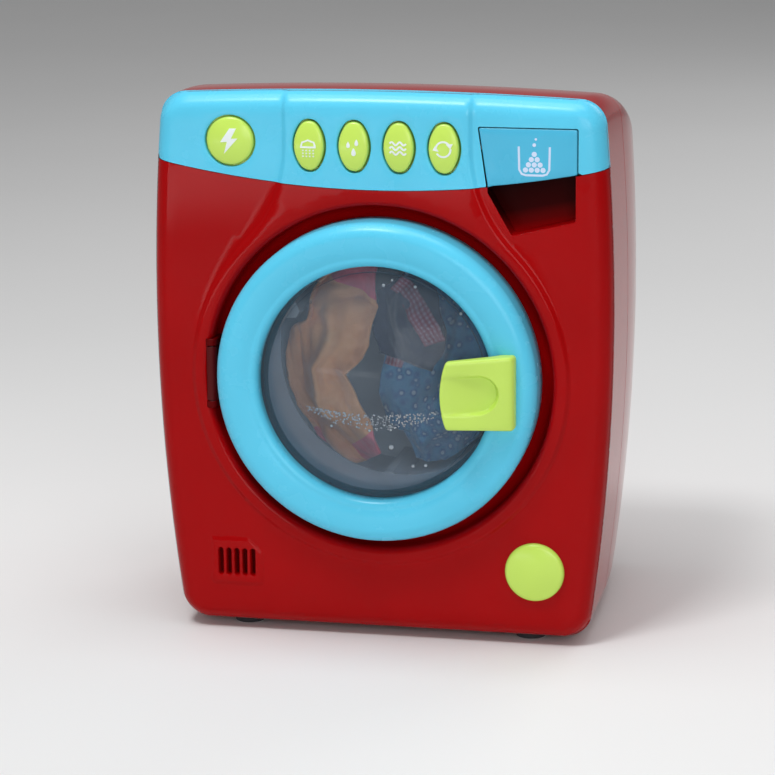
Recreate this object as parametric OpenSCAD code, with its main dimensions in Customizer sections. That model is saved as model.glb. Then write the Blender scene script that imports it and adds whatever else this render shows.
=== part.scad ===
// Toy front-loading washing machine, battery driven, free standing.
// Millimetres. X to the right, Y to the back, Z up. The origin is on the floor, under the middle of
// the body's width, in the plane where the front and rear shells meet.

/* [Body] */
// Widest part of the body
body_w = 189.6; // [187:0.2:198]
// Height of the shells, without the feet
body_h = 224; // [222:0.5:232]
// Front face, ahead of the parting plane
front_depth = 48.4; // [48:0.2:52]
// Back face, behind the parting plane
back_depth = 74; // [73:0.5:84]
// Height of the widest point above the floor
belly_z = 135; // [120:1:150]
// Radius of the curved sides, seen from the front
side_arc_r = 900; // [800:10:1400]
// Radius of the crown of the top, seen from the front
top_arc_r = 1600; // [1200:10:2400]
// Radius of the top as it falls to the back, seen from the side
top_fall_r = 270; // [250:5:500]
// Radius of the sides as they draw in to the back, seen from above
side_fall_r = 420; // [400:5:900]
// Corner radius of the outline, seen from the front
corner_r = 11; // [10:0.5:14]
// Radius of the front edge all round
front_edge_r = 8; // [7:0.5:9]
// Radius of the back edge all round
back_edge_r = 14; // [10:0.5:15]
// Wall of the shells
wall = 2.2; // [1.8:0.1:2.6]
// Height of the feet
foot_h = 3; // [2:0.5:5]
// Radius of the feet
foot_r = 7; // [5:0.5:9]
// Distance of the feet from the body's sides
foot_in = 34.8; // [30:0.1:40]
// Distance of the front feet behind the front face
foot_front = 16; // [14:0.5:22]
// Distance of the rear feet ahead of the back face
foot_back = 26; // [22:0.5:30]

/* [Raised land] */
// Rise of the land round the door above the rest of the front
land_rise = 1.6; // [1:0.1:2]
// Width of the land round the door's groove
land_margin = 6.5; // [5:0.5:9]
// Half width of its neck where it runs over the control panel
neck_half = 38; // [36:0.5:39]
// Radius of the hollow flank between the round and the neck
flank_r = 60; // [50:1:66]
// Width of the land's sloping edge
flank_w = 3; // [2:0.25:3.5]

/* [Control panel] */
// Height of the panel, from the lowest point of its sagging lower edge to the top of the body
panel_h = 39.2; // [38:0.1:40.5]
// Radius of that edge
panel_arc_r = 420; // [380:5:600]
// Wall of the panel
panel_t = 2.2; // [1.8:0.1:2.4]
// Distance of the row of mode buttons below the top of the body
button_drop = 21.7; // [21:0.1:22.5]
// Distance between mode buttons
button_pitch = 18.3; // [17.8:0.1:18.6]
// Width of a mode button
mode_w = 12.8; // [11:0.1:13.4]
// Height of a mode button
mode_h = 20.5; // [18:0.1:21]
// Radius of the power button
power_r = 10; // [8:0.1:10.4]
// Distance of the power button from the body's side
power_in = 34.3; // [32:0.1:38]
// How far the button caps stand out of the panel
cap_rise = 2.6; // [2:0.1:3.2]
// Travel of a button
press = 1.5; // [1:0.1:1.8]
// Flange that keeps a button behind the panel
button_lip = 1.2; // [1:0.1:1.5]

/* [Detergent drawer] */
// Distance of the drawer front's upper left corner from the land's neck
drawer_gap = 2.7; // [2.3:0.1:3.5]
// How far that edge leans to the right by its foot
drawer_lean = 3.4; // [2.5:0.1:3.6]
// Distance of the drawer front's right edge from the body's side
drawer_in = 13.8; // [12.8:0.1:15.3]
// Distance of the drawer front's top below the top of the body
drawer_drop = 12.7; // [12:0.1:13.5]
// Height of the tray
tray_h = 12.5; // [11:0.5:13]
// Wall of the tray and its guide
tray_t = 1.5; // [1.2:0.1:1.6]
// How far the drawer pulls out
drawer_travel = 26; // [20:0.5:28]
// Depth of the finger pocket under the drawer
pocket_depth = 10; // [8:0.5:12]

/* [Door] */
// Distance of the door's groove below the panel
door_drop = 6.8; // [6.3:0.1:7.3]
// Outer radius of the door ring
ring_r = 66; // [65.5:0.1:66.4]
// Width of the ring round the window
ring_w = 17.8; // [17.4:0.1:18.5]
// How far the ring stands ahead of the front face
ring_rise = 12.1; // [11.5:0.1:13]
// How far the dome of the window stands ahead of the ring's lip
dome_rise = 15.8; // [14:0.1:16.2]
// Wall of the window
window_t = 1.8; // [1.4:0.1:2]
// Wall of the ring
ring_t = 2.2; // [1.8:0.1:2.4]
// Width of the gap between ring and body
door_gap = 5; // [4.8:0.1:5.4]
// Depth of the groove behind the ring, from the front face
groove_depth = 9.9; // [9.8:0.1:11]
// How much wider the opening into the drum is than the drum
mouth_gap = 1.5; // [1:0.1:2.5]
// Height of the handle
handle_h = 30.5; // [28:0.5:32]
// Distance of the handle's right end from the ring's outer edge
handle_in = 7.7; // [7.5:0.1:8.5]
// How far the handle's left end reaches over the window
handle_over = 18.7; // [16:0.1:19.2]
// Width of the thumb scoop in the handle
scoop_w = 16.6; // [14:0.2:18]

/* [Hinge] */
// Radius of the hinge pin
pin_r = 1; // [0.8:0.05:1.1]
// Radius of the knuckle and lugs round it
knuckle_r = 2.4; // [2.2:0.05:2.5]
// Length of the door's knuckle
knuckle_len = 22.4; // [18:0.2:26]
// Thickness of each lug
lug_t = 3; // [2.4:0.1:3.5]

/* [Drum] */
// How much wider the drum is than the window, in radius
drum_over = 2.3; // [1.3:0.1:2.6]
// Gap between the motor and the back wall, which settles the depth of the drum
motor_gap = 6.5; // [6:0.1:9.5]
// Wall of the drum
drum_t = 1.8; // [1.5:0.1:2.2]
// Number of holes round the drum
drum_holes = 18; // [12:3:24]
// Rows of holes
drum_rows = 3; // [2:1:4]
// Radius of a drum hole
drum_hole_r = 1.6; // [1:0.1:2]
// Height of the lifters inside the drum
lifter_h = 7; // [5:0.5:8]
// Wall of the tub round the drum
tub_t = 2; // [1.6:0.1:2.2]
// Gap between the drum and the tub
tub_gap = 3; // [2.5:0.1:3.4]
// Radius of the drum shaft
shaft_r = 3; // [2.5:0.1:3.4]

/* [Gear train] */
// Module of the gears
gear_module = 0.8; // [0.78:0.01:0.84]
// Teeth of the drum gear
drum_teeth = 60; // [56:4:60]
// Teeth of the idler's large gear
idler_teeth = 48; // [44:4:52]
// Teeth of each pinion
pinion_teeth = 12; // [12:4:12]
// Backlash between teeth, on the pitch circle
backlash = 0.24; // [0.2:0.02:0.34]
// Width of the drum gear
gear_w = 4; // [3:0.1:4.2]
// Radius of the motor
motor_r = 10; // [9:0.5:11]
// Length of the motor
motor_len = 25; // [20:0.5:27]

/* [Speaker and grille] */
// Distance of the grille's middle from the body's side
grille_in = 33.8; // [32.8:0.1:34.8]
// Height of the grille's middle above the shells' lower edge
grille_up = 27; // [26:0.5:28]
// Width of the grille plate
grille_w = 22; // [20:0.5:24]
// Height of the grille plate
grille_h = 20; // [18:0.5:22]
// Slots in the grille
grille_slots = 5; // [4:1:6]
// Distance between slots
slot_pitch = 3.4; // [3:0.1:3.6]
// Width of a slot
slot_w = 2; // [1.6:0.1:2.2]
// Radius of the speaker
speaker_r = 14; // [12:0.5:14.5]
// Radius of the filter cap at the lower right
cap_r = 12.2; // [11:0.1:13]
// Distance of the filter cap's middle from the body's side
cap_in = 30.8; // [30:0.1:32]
// Height of the filter cap's middle above the shells' lower edge
cap_up = 29; // [27:0.5:30]

/* [Batteries] */
// Radius of an AA cell
cell_r = 7.1; // [7:0.05:7.2]
// Length of an AA cell, without its button
cell_len = 49.2; // [48:0.1:50]
// Number of cells
cells = 3; // [2:1:4]
// Wall of the battery box
box_t = 1.6; // [1.4:0.1:2]

/* [Screws] */
// Radius of a screw's shank
screw_r = 1.4; // [1.2:0.05:1.5]
// Radius of a screw's head
head_r = 2.7; // [2.4:0.1:3]
// Height of a screw's head
head_h = 1.1; // [0.9:0.1:1.2]
// Radius of the towers that take the case screws
tower_r = 4; // [3.6:0.1:4.4]

/* [Fits] */
// Radial clearance of a turning fit
turn_fit = 0.05; // [0.03:0.01:0.08]
// Clearance of fixed pieces that fit together
fit = 0.15; // [0.1:0.01:0.2]
// Clearance of pieces that slide
slide_fit = 0.4; // [0.3:0.05:0.5]

/* [Hidden] */
$fn = 64;
eps = 0.02;
layer = 0.2;
far = 300;
arc_fn = 240;
corner_fn = 24;
edge_steps = 4;

// ---- places worked out from the sizes above ----
front_y = -front_depth;
land_y = front_y - land_rise;
half_w = body_w / 2;
top_z = foot_h + body_h;
panel_low_z = top_z - panel_h;
button_z = top_z - button_drop;
power_x = half_w - power_in;
drawer_left = neck_half + drawer_gap;
drawer_right = half_w - drawer_in;
drawer_top_z = top_z - drawer_drop;
grille_x = half_w - grille_in;
grille_z = foot_h + grille_up;
cap_x = half_w - cap_in;
cap_z = foot_h + cap_up;
fall_start_y = front_y + front_edge_r;
panel_back_y = fall_start_y + 0.4;
skin_back_y = front_y + wall;
panel_inner_y = front_y + panel_t;

groove_r = ring_r + door_gap;
door_z = panel_low_z - door_drop - groove_r;
land_r = groove_r + land_margin;
window_r = ring_r - ring_w;
handle_right = ring_r - handle_in;
handle_left = window_r - handle_over;
groove_y = front_y + groove_depth;
floor_y = groove_y + wall;
hinge_x = -(groove_r - 1);
hinge_y = front_y - 0.1;
lug_inner = knuckle_len / 2 + 0.3;
lug_outer = lug_inner + lug_t;

crest_y = front_y - ring_rise;
ring_back_y = groove_y - 3.5;
crest_r = 5.7;
lip_r = 3.2;
lip_rise = 1.1;
flange_front_y = crest_y + 7.1;
flange_t = 1.8;
dome_r = (pow(window_r - 1, 2) + pow(dome_rise, 2)) / (2 * dome_rise);
dome_base_y = flange_front_y - 0.8;
apex_y = dome_base_y - dome_rise;
plate_t = 2;
plate_back_y = ring_back_y + plate_t;

drum_r = window_r + drum_over;
mouth_r = drum_r + mouth_gap;
big_gear_w = 3;
cover_t = 2;
// from the drum's back to the motor's back: tub floor, boss, gears, cover and motor
drive_len = 3 + tub_t + 7 + 1.5 + gear_w + 1.5 + big_gear_w + 4.3 + cover_t + motor_len;
drum_front_y = floor_y + 0.3;
drum_back_y = back_depth - wall - motor_gap - drive_len;
drum_depth = drum_back_y - drum_front_y;
tub_in_r = drum_r + tub_gap;
tub_out_r = tub_in_r + tub_t;
tub_back_y = drum_back_y + 3 + tub_t;
boss_y = tub_back_y + 7;
gear_y = boss_y + 1.5;
big_gear_y = gear_y + gear_w + 1.5;
cover_y = big_gear_y + big_gear_w + 4.3;
idler_dz = gear_module * (drum_teeth + pinion_teeth) / 2;
motor_dz = idler_dz + gear_module * (idler_teeth + pinion_teeth) / 2;

tray_bottom_z = drawer_top_z - 3 - tray_h;
tray_left = drawer_left + drawer_lean + 3;
tray_right = drawer_right - 3;
guide_y0 = skin_back_y + 2.4;
tray_len = drawer_travel + 8;

seat_y = panel_inner_y + fit;
seat_t = 2;
power_z = button_z + 0.9;
key_y = front_y + panel_t + button_lip + 4.2;
sheet_t = 1;
board_y = key_y + press - 0.1 + sheet_t;
board_t = 1.6;
board_x0 = -(power_x + power_r + 10.5);
board_x1 = drawer_left + 2;
board_z0 = button_z - mode_h / 2 - 1;
board_z1 = button_z + mode_h / 2 - 1;
standoff_r = 2.8;
board_spots = [[board_x0 + 3.5, button_z], [-(power_x + 1.5 * button_pitch) / 2 + 0.8, board_z0 + 5],
               [board_x1 - 2.4, button_z]];

box_w = cells * (2 * cell_r + 0.6) + 2 * box_t + 0.6;
box_h = cell_len + 3 + 2 * box_t + 4;
box_z0 = foot_h + 15;
box_depth = 2 * cell_r + box_t + 1;
tab_z = box_z0 + box_h + 5;
pad_y = back_depth - wall - 2.2;
bay_back_y = pad_y - 0.1;
door_t = 2;
box_y0 = bay_back_y - box_depth;

speaker_y = skin_back_y + 1.2;
low_spot = [half_w - 22.8, foot_h + 11];
high_spot = [half_w - 18.8, panel_low_z - 20];
case_spots = [[-low_spot[0], low_spot[1]], low_spot, [-high_spot[0], high_spot[1]], high_spot,
              [0, panel_low_z + 1.7]];
ear_dz = 38;
tub_spots = [for (sx = [-1, 1], sz = [-1, 1]) [sx * (groove_r - 5), door_z + sz * ear_dz]];
foot_ys = [front_y + foot_front, back_depth - foot_back];
bundle_drum_r = 50.5;
clamp_y = speaker_y + 6;
clamp_t = 1.6;
clamp_ear_r = 2.6;
clamp_spots = [for (a = [0 : 90 : 270])
    [-grille_x + (speaker_r + 2.4) * cos(a), grille_z + (speaker_r + 2.4) * sin(a)]];
drum_gear_r = gear_module * drum_teeth / 2;
cover_spots = [for (sx = [-1, 1], dz = [-20, 40]) [sx * drum_gear_r, door_z + dz]];
latch_x = ring_r - 4;
tub_ear_y = front_y + 28;
head_seat_y = 12;
mode_xs = [for (i = [0 : 3]) (i - 1.5) * button_pitch];
flank_c = [neck_half + flank_r,
           door_z + sqrt(pow(land_r + flank_r, 2) - pow(neck_half + flank_r, 2))];

// ---- helpers ----

// A front-view shape (X across, Z up), made solid from y0 back to y1
module slab(y0, y1) {
    translate([0, y1, 0])
        rotate([90, 0, 0])
            linear_extrude(y1 - y0)
                children();
}

// A round bar along Y at (x, z), from y0 back to y1; r0 at the front and r1 at the back
module bar(x, z, y0, y1, r0, r1 = undef) {
    translate([x, y1, z])
        rotate([90, 0, 0])
            cylinder(h = y1 - y0, r1 = is_undef(r1) ? r0 : r1, r2 = r0);
}

// A profile of (radius, y) points turned about the Y axis through (x, z)
module turned(x, z) {
    translate([x, 0, z])
        rotate([-90, 0, 0])
            rotate_extrude()
                children();
}

// The body's outline, set in by the given amounts
module outline(side_in = 0, top_in = 0, bottom_in = 0, r = corner_r) {
    half = body_w / 2 - side_in;
    offset(r = r, $fn = corner_fn)
        offset(delta = -r)
            intersection() {
                translate([side_arc_r - half, belly_z])
                    circle(side_arc_r, $fn = arc_fn);
                translate([half - side_arc_r, belly_z])
                    circle(side_arc_r, $fn = arc_fn);
                translate([0, top_z - top_in - top_arc_r])
                    circle(top_arc_r, $fn = arc_fn);
                translate([-half, foot_h + bottom_in])
                    square([2 * half, body_h]);
            }
}

function top_fall(y) = pow(max(0, y - fall_start_y), 2) / (2 * top_fall_r);
function side_fall(y) = pow(max(0, y), 2) / (2 * side_fall_r);

module section_at(y, inset, r) {
    slab(y, y + layer)
        outline(inset + side_fall(y), inset + top_fall(y), inset, r);
}

// The front shell's outer form; s sets every face in by s
module front_form(s = 0, over = 0) {
    er = front_edge_r - s;
    hull() {
        for (i = [0 : edge_steps]) {
            a = 90 * i / edge_steps;
            in = er * (1 - sin(a));
            section_at(front_y + s + er * (1 - cos(a)), s + in, max(corner_r - s - in, 2));
        }
        for (y = [front_y / 2, -layer])
            section_at(y, s, corner_r - s);
        if (over > 0)
            translate([0, over, 0])
                section_at(-layer, s, corner_r - s);
    }
}

// The rear shell's outer form
module rear_form(s = 0, over = 0) {
    er = back_edge_r - s;
    y_edge = back_depth - back_edge_r;
    hull() {
        if (over > 0)
            translate([0, -over, 0])
                section_at(0, s, corner_r - s);
        for (y = [0, y_edge / 3, 2 * y_edge / 3])
            section_at(y, s, corner_r - s);
        for (i = [0 : edge_steps + 1]) {
            a = 90 * i / (edge_steps + 1);
            section_at(y_edge + er * sin(a) - layer, s + er * (1 - cos(a)), corner_r - s);
        }
    }
}

// Raised land: a disc round the door, drawn up into a neck with hollow flanks, edges sloping
module land_column() {
    slope = flank_w / land_rise;
    out = flank_w / 2;
    base_y = front_y + 1;
    dir = (flank_c - [0, door_z]) / norm(flank_c - [0, door_z]);
    foot = [0, door_z] + dir * (land_r - 6);
    bar(0, door_z, land_y, front_y, land_r - out, land_r + out);
    bar(0, door_z, front_y - eps, base_y, land_r + out);
    difference() {
        slab(land_y - 1, base_y)
            polygon([foot, flank_c, [flank_c[0], top_z + 5], [-flank_c[0], top_z + 5],
                     [-flank_c[0], flank_c[1]], [-foot[0], foot[1]]]);
        for (side = [-1, 1]) {
            bar(side * flank_c[0], flank_c[1], land_y - 2, front_y,
                flank_r + out + 2 * slope, flank_r - out);
            bar(side * flank_c[0], flank_c[1], front_y - eps, base_y + 1, flank_r - out);
            mirror([side < 0 ? 1 : 0, 0, 0])
                translate([neck_half, 0, flank_c[1]])
                    linear_extrude(far)
                        polygon([[out, base_y + 1], [out, front_y],
                                 [-out - 2 * slope, land_y - 2], [far, land_y - 2],
                                 [far, base_y + 1]]);
        }
    }
}

module land() {
    intersection() {
        translate([0, -land_rise, 0])
            front_form();
        land_column();
    }
}

// Front-view region of the control panel, grown by g
module panel_region(g = 0) {
    intersection() {
        translate([0, panel_low_z + panel_arc_r])
            circle(panel_arc_r + g, $fn = arc_fn);
        translate([-far / 2, panel_low_z - 20])
            square([far, far]);
    }
}

// Front-view region of the drawer front, shrunk by g at its sides and top
module drawer_region(g = 0, low = 30) {
    intersection() {
        panel_region();
        polygon([[drawer_left + g, drawer_top_z - g],
                 [drawer_left + drawer_lean + g, drawer_top_z - 24.8],
                 [drawer_left + drawer_lean + g, drawer_top_z - low],
                 [drawer_right - g, drawer_top_z - low],
                 [drawer_right - g, drawer_top_z - g]]);
    }
}

// Front-view region of the finger pocket, grown by g
module pocket_region(g = 0) {
    left = drawer_left + drawer_lean;
    low = panel_low_z - 17;
    polygon([[left + 0.4 - g, panel_low_z + 9 + g], [left + 0.4 - g, panel_low_z + 0.6],
             [left + 10.3 - g, low - g], [drawer_right - 1 + g, low + 6.2 - g],
             [drawer_right - 1 + g, panel_low_z + 9 + g]]);
}

// Four-arc oval of a mode button, grown by g
module mode_shape(g = 0) {
    end_r = 0.36 * mode_w;
    a = mode_w / 2;
    c = mode_h / 2 - end_r;
    side_r = (a * a + c * c - end_r * end_r) / (2 * (a - end_r));
    joint_z = side_r * c / (side_r - end_r);
    for (s = [-1, 1])
        translate([0, s * c])
            circle(end_r + g);
    intersection() {
        translate([side_r - a, 0])
            circle(side_r + g);
        translate([a - side_r, 0])
            circle(side_r + g);
        translate([-mode_w, -joint_z])
            square([2 * mode_w, 2 * joint_z]);
    }
}

// ---- shells ----

module screw_tower(x, z, r, y0, y1, bore_from) {
    difference() {
        bar(x, z, y0, y1, r);
        bar(x, z, bore_from, y1 + 1, screw_r + turn_fit);
    }
}

module front_shell() {
    color([0.78, 0.04, 0.06])
        difference() {
            union() {
                difference() {
                    union() {
                        difference() {
                            front_form();
                            front_form(wall, 1);
                        }
                        land();
                    }
                    slab(land_y - 5, panel_back_y + fit)
                        panel_region(fit);
                    bar(0, door_z, land_y - 5, skin_back_y + 1, groove_r);
                }
                panel_seat();
                groove_cup();
                pocket_cup();
                grille_plate();
                for (p = case_spots)
                    bar(p[0], p[1], skin_back_y - 1, 0, tower_r);
                for (p = tub_spots)
                    bar(p[0], p[1], skin_back_y - 1, tub_ear_y, tower_r - 0.5);
                for (p = clamp_spots)
                    bar(p[0], p[1], skin_back_y - 1, clamp_y, 2);
                for (p = board_spots)
                    bar(p[0], p[1], seat_y + 0.5, board_y, standoff_r);
            }
            // door groove with its eased edge, and the way into the drum
            bar(0, door_z, land_y - 5, groove_y, groove_r);
            bar(0, door_z, land_y - 1, land_y + 1.5, groove_r + 2.5, groove_r);
            bar(0, door_z, groove_y - 1, floor_y + 1, mouth_r);
            slab(land_y - 5, groove_y)
                translate([hinge_x - knuckle_r - 0.9, door_z - lug_outer - 0.5])
                    square([10, 2 * lug_outer + 1]);
            // slot for the latch tongue
            slab(groove_y - 1, floor_y + 1)
                translate([latch_x - 3, door_z - 7])
                    square([7, 14]);
            slab(land_y - 5, front_y + pocket_depth)
                pocket_region();
            grille_slots_cut();
            for (p = case_spots)
                bar(p[0], p[1], -14, 1, screw_r + turn_fit);
            for (p = tub_spots)
                bar(p[0], p[1], tub_ear_y - 10, tub_ear_y + 1, screw_r + turn_fit);
            for (p = board_spots)
                bar(p[0], p[1], board_y - 6.2, board_y + 1, screw_r + turn_fit);
            // room in front of the panel's seat, and round the filter cap
            slab(land_y - 5, seat_y)
                panel_region(fit);
            bar(cap_x, cap_z, front_y - 1, skin_back_y + 1, cap_r - 4 + fit);
            bar(cap_x, cap_z, land_y - 1, front_y, cap_r + slide_fit);
            // room for the speaker and its clamp
            bar(-grille_x, grille_z, speaker_y, clamp_y + clamp_t + fit, speaker_r + fit);
            for (p = clamp_spots)
                bar(p[0], p[1], clamp_y, clamp_y + clamp_t + fit, clamp_ear_r + fit);
        }
    color([0.78, 0.04, 0.06])
        hinge_lugs();
}

module hinge_lugs() {
    for (side = [-1, 1])
        translate([hinge_x, hinge_y, door_z + side * (lug_inner + lug_t / 2) - lug_t / 2])
            difference() {
                union() {
                    cylinder(h = lug_t, r = knuckle_r);
                    translate([-knuckle_r, 0, 0])
                        cube([2 * knuckle_r, groove_y - hinge_y + 0.5, lug_t]);
                }
                translate([0, 0, -1])
                    cylinder(h = lug_t + 2, r = pin_r + turn_fit / 2);
            }
}

// The groove behind the door ring, as a dished wall with a turned rim at the drum's mouth
module groove_cup() {
    difference() {
        bar(0, door_z, land_y + 1, floor_y, groove_r + wall);
        bar(0, door_z, land_y, groove_y, groove_r);
    }
}

// Frame behind the control panel that the panel is fixed to
module panel_seat() {
    rim = wall + 2;
    intersection() {
        front_form(panel_t + fit);
        union() {
            difference() {
                slab(seat_y, seat_y + seat_t)
                    seat_area(wall);
                slab(seat_y - 1, seat_y + seat_t + 1) {
                    translate([mode_xs[0] - mode_w / 2 - 3, button_z - mode_h / 2 - 2.5])
                        square([3 * button_pitch + mode_w + 6, mode_h + 5]);
                    translate([-power_x, power_z])
                        circle(power_r + 2.5);
                    translate([tray_left - 2.5, tray_bottom_z - 2.5])
                        square([tray_right - tray_left + 5, tray_h + 5]);
                }
            }
            difference() {
                slab(seat_y, panel_back_y + 4)
                    seat_area(wall);
                slab(seat_y - 1, panel_back_y + 5)
                    outline(rim, rim, rim, corner_r - rim);
            }
        }
    }
    // joins to the shell's wall behind the panel, and to its skin under the panel
    difference() {
        slab(panel_back_y + fit, panel_back_y + 4)
            seat_area(wall - 0.5);
        slab(seat_y - 1, panel_back_y + 5)
            outline(rim, rim, rim, corner_r - rim);
    }
    slab(skin_back_y - 0.5, seat_y + seat_t)
        difference() {
            seat_area(front_edge_r + 1);
            panel_region(fit);
        }
}

module seat_area(inset) {
    intersection() {
        outline(inset, inset, inset, 4);
        panel_region(3);
    }
}

module pocket_cup() {
    difference() {
        slab(skin_back_y - 1, front_y + pocket_depth + 1.6)
            pocket_region(1.6);
        slab(land_y, panel_back_y + 20)
            translate([tray_left - 4, tray_bottom_z - 1.9])
                square([60, 30]);
    }
}

module grille_outline(g = 0) {
    w = grille_w / 2 + g;
    h = grille_h / 2 + g;
    cut = 6;
    translate([-grille_x, grille_z])
        polygon([[-w, -h], [w - 2, -h], [w, -h + 2], [w, h - cut], [w - cut, h], [-w + 2, h],
                 [-w, h - 2]]);
}

module grille_plate() {
    slab(front_y - 0.8, front_y + 1)
        grille_outline();
}

module grille_slots_cut() {
    slab(front_y - 2, skin_back_y + 1)
        for (i = [0 : grille_slots - 1])
            translate([-grille_x + (i - (grille_slots - 1) / 2) * slot_pitch - slot_w / 2,
                       grille_z - grille_h / 2 + 4])
                square([slot_w, grille_h - 8.5]);
}

module rear_shell() {
    color([0.72, 0.04, 0.06])
        difference() {
            union() {
                difference() {
                    rear_form();
                    rear_form(wall, 1);
                }
                rear_lip();
                // screw wells and the pad behind the battery door
                intersection() {
                    rear_form(0.5);
                    union() {
                        for (p = case_spots)
                            bar(p[0], p[1], 1, back_depth, tower_r + 0.8);
                        slab(pad_y, back_depth)
                            battery_door_shape(-2.5);
                        bar(0, tab_z, pad_y - 8, back_depth, 4);
                    }
                }
            }
            for (p = case_spots) {
                bar(p[0], p[1], -3, back_depth, screw_r + fit);
                bar(p[0], p[1], head_seat_y, back_depth + 1, head_r + fit);
            }
            slab(-4, 0)
                translate([-far / 2, -10])
                    square([far, foot_h + 9]);
            slab(back_depth - door_t - 0.2, back_depth + 1)
                battery_door_shape();
            slab(pad_y - 1, back_depth + 1)
                bay_shape();
            bar(0, tab_z, pad_y - 6, back_depth, screw_r + turn_fit);
        }
}

// Tongue of the rear shell that locates it inside the front shell
module rear_lip() {
    difference() {
        slab(-3, 1)
            lip_outline(wall + fit);
        slab(-4, 2)
            lip_outline(wall + 1.5);
    }
    difference() {
        slab(0.3, 1)
            lip_outline(1);
        slab(-1, 2)
            lip_outline(wall + 1.5);
    }
}

module lip_outline(g) {
    outline(g, g + top_fall(0), g, corner_r - g);
}

module bay_shape() {
    translate([-box_w / 2, box_z0])
        square([box_w, box_h]);
}

// Front-view region of the battery door with its screw tab, shrunk by g
module battery_door_shape(g = 0) {
    translate([-box_w / 2 - 3 + g, box_z0 - 3 + g])
        square([box_w + 6 - 2 * g, box_h + 6 - 2 * g]);
    translate([0, tab_z])
        circle(6 - g);
}

module feet() {
    color([0.25, 0.25, 0.27])
        for (x = [foot_in - half_w, half_w - foot_in], y = foot_ys)
            translate([x, y, 0])
                cylinder(h = foot_h, r1 = foot_r - 1, r2 = foot_r);
}

// ---- control panel, buttons and electronics ----

module control_panel() {
    color([0.42, 0.8, 0.93])
        difference() {
            intersection() {
                union() {
                    front_form();
                    land();
                }
                slab(land_y - 5, panel_back_y)
                    panel_region();
            }
            front_form(panel_t);
            slab(land_y - 5, panel_back_y + 1) {
                for (x = mode_xs)
                    translate([x, button_z])
                        mode_shape(slide_fit);
                translate([-power_x, power_z])
                    circle(power_r + slide_fit);
            }
            slab(land_y - 5, panel_inner_y + 1)
                drawer_region();
        }
}

module button_body(y_face) {
    dome = 34;
    intersection() {
        slab(y_face - cap_rise - 1, panel_inner_y + fit)
            children(0);
        translate([0, y_face - cap_rise + dome, 0])
            sphere(dome);
    }
    slab(panel_inner_y + fit, panel_inner_y + fit + button_lip)
        children(1);
    bar(0, 0, panel_inner_y + fit, key_y - 0.3, 3);
}

module mode_button(x) {
    color([0.72, 0.88, 0.3])
        translate([x, 0, button_z])
            button_body(land_y) {
                mode_shape();
                mode_shape(1.3);
            }
}

module mode_button_1() { mode_button(mode_xs[0]); }
module mode_button_2() { mode_button(mode_xs[1]); }
module mode_button_3() { mode_button(mode_xs[2]); }
module mode_button_4() { mode_button(mode_xs[3]); }

module power_button() {
    color([0.72, 0.88, 0.3])
        translate([-power_x, 0, power_z])
            button_body(front_y) {
                circle(power_r);
                circle(power_r + 1.5);
            }
}

module keypad() {
    color([0.6, 0.6, 0.62])
        difference() {
            union() {
                slab(board_y - sheet_t, board_y)
                    translate([-power_x - 7, board_z0 + 1])
                        square([power_x + 1.5 * button_pitch + 14, board_z1 - board_z0 - 2]);
                for (x = mode_xs)
                    bar(x, button_z, key_y, board_y - sheet_t + eps, 2.6, 4.4);
                bar(-power_x, power_z, key_y, board_y - sheet_t + eps, 2.6, 4.4);
            }
            for (p = board_spots)
                bar(p[0], p[1], key_y, board_y + 1, standoff_r + 0.6);
        }
}

module circuit_board() {
    color([0.1, 0.45, 0.2])
        difference() {
            union() {
                slab(board_y, board_y + board_t)
                    translate([board_x0, board_z0])
                        square([board_x1 - board_x0, board_z1 - board_z0]);
                slab(board_y + board_t, board_y + board_t + 3)
                    translate([-12, board_z0 + 5])
                        square([9, 9]);
                slab(board_y + board_t, board_y + board_t + 6)
                    translate([-30, board_z0 + 4])
                        square([5, 8]);
                bar(8, board_z0 + 9, board_y + board_t, board_y + board_t + 8, 3.2);
            }
            for (p = board_spots)
                bar(p[0], p[1], board_y - 1, board_y + board_t + 1, screw_r + fit);
        }
}

module screw(x, z, head_y, len) {
    bar(x, z, head_y, head_y + head_h, head_r);
    bar(x, z, head_y - len, head_y + eps, screw_r);
}

module board_screws() {
    color([0.7, 0.7, 0.72])
        for (p = board_spots)
            screw(p[0], p[1], board_y + board_t, 7);
}

// ---- detergent drawer ----

module detergent_drawer() {
    color([0.36, 0.74, 0.9]) {
        difference() {
            intersection() {
                front_form();
                slab(land_y - 5, panel_inner_y + 1)
                    drawer_region(slide_fit);
            }
            slab(panel_inner_y, panel_inner_y + 5)
                square(far);
        }
        difference() {
            translate([tray_left, panel_inner_y - eps, tray_bottom_z])
                cube([tray_right - tray_left, tray_len, tray_h]);
            translate([tray_left + tray_t, panel_inner_y + 1, tray_bottom_z + tray_t])
                cube([tray_right - tray_left - 2 * tray_t, tray_len - 1 - tray_t, tray_h]);
        }
    }
}

module drawer_guide() {
    g = slide_fit;
    color([0.85, 0.85, 0.83])
        difference() {
            translate([tray_left - g - tray_t, guide_y0, tray_bottom_z - g - tray_t])
                cube([tray_right - tray_left + 2 * (g + tray_t), tray_len + 1.6,
                      tray_h + g + tray_t]);
            translate([tray_left - g, guide_y0 - 1, tray_bottom_z - g])
                cube([tray_right - tray_left + 2 * g, tray_len + 1.2, tray_h + 2 * g + 1]);
        }
}

// ---- door ----

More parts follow.
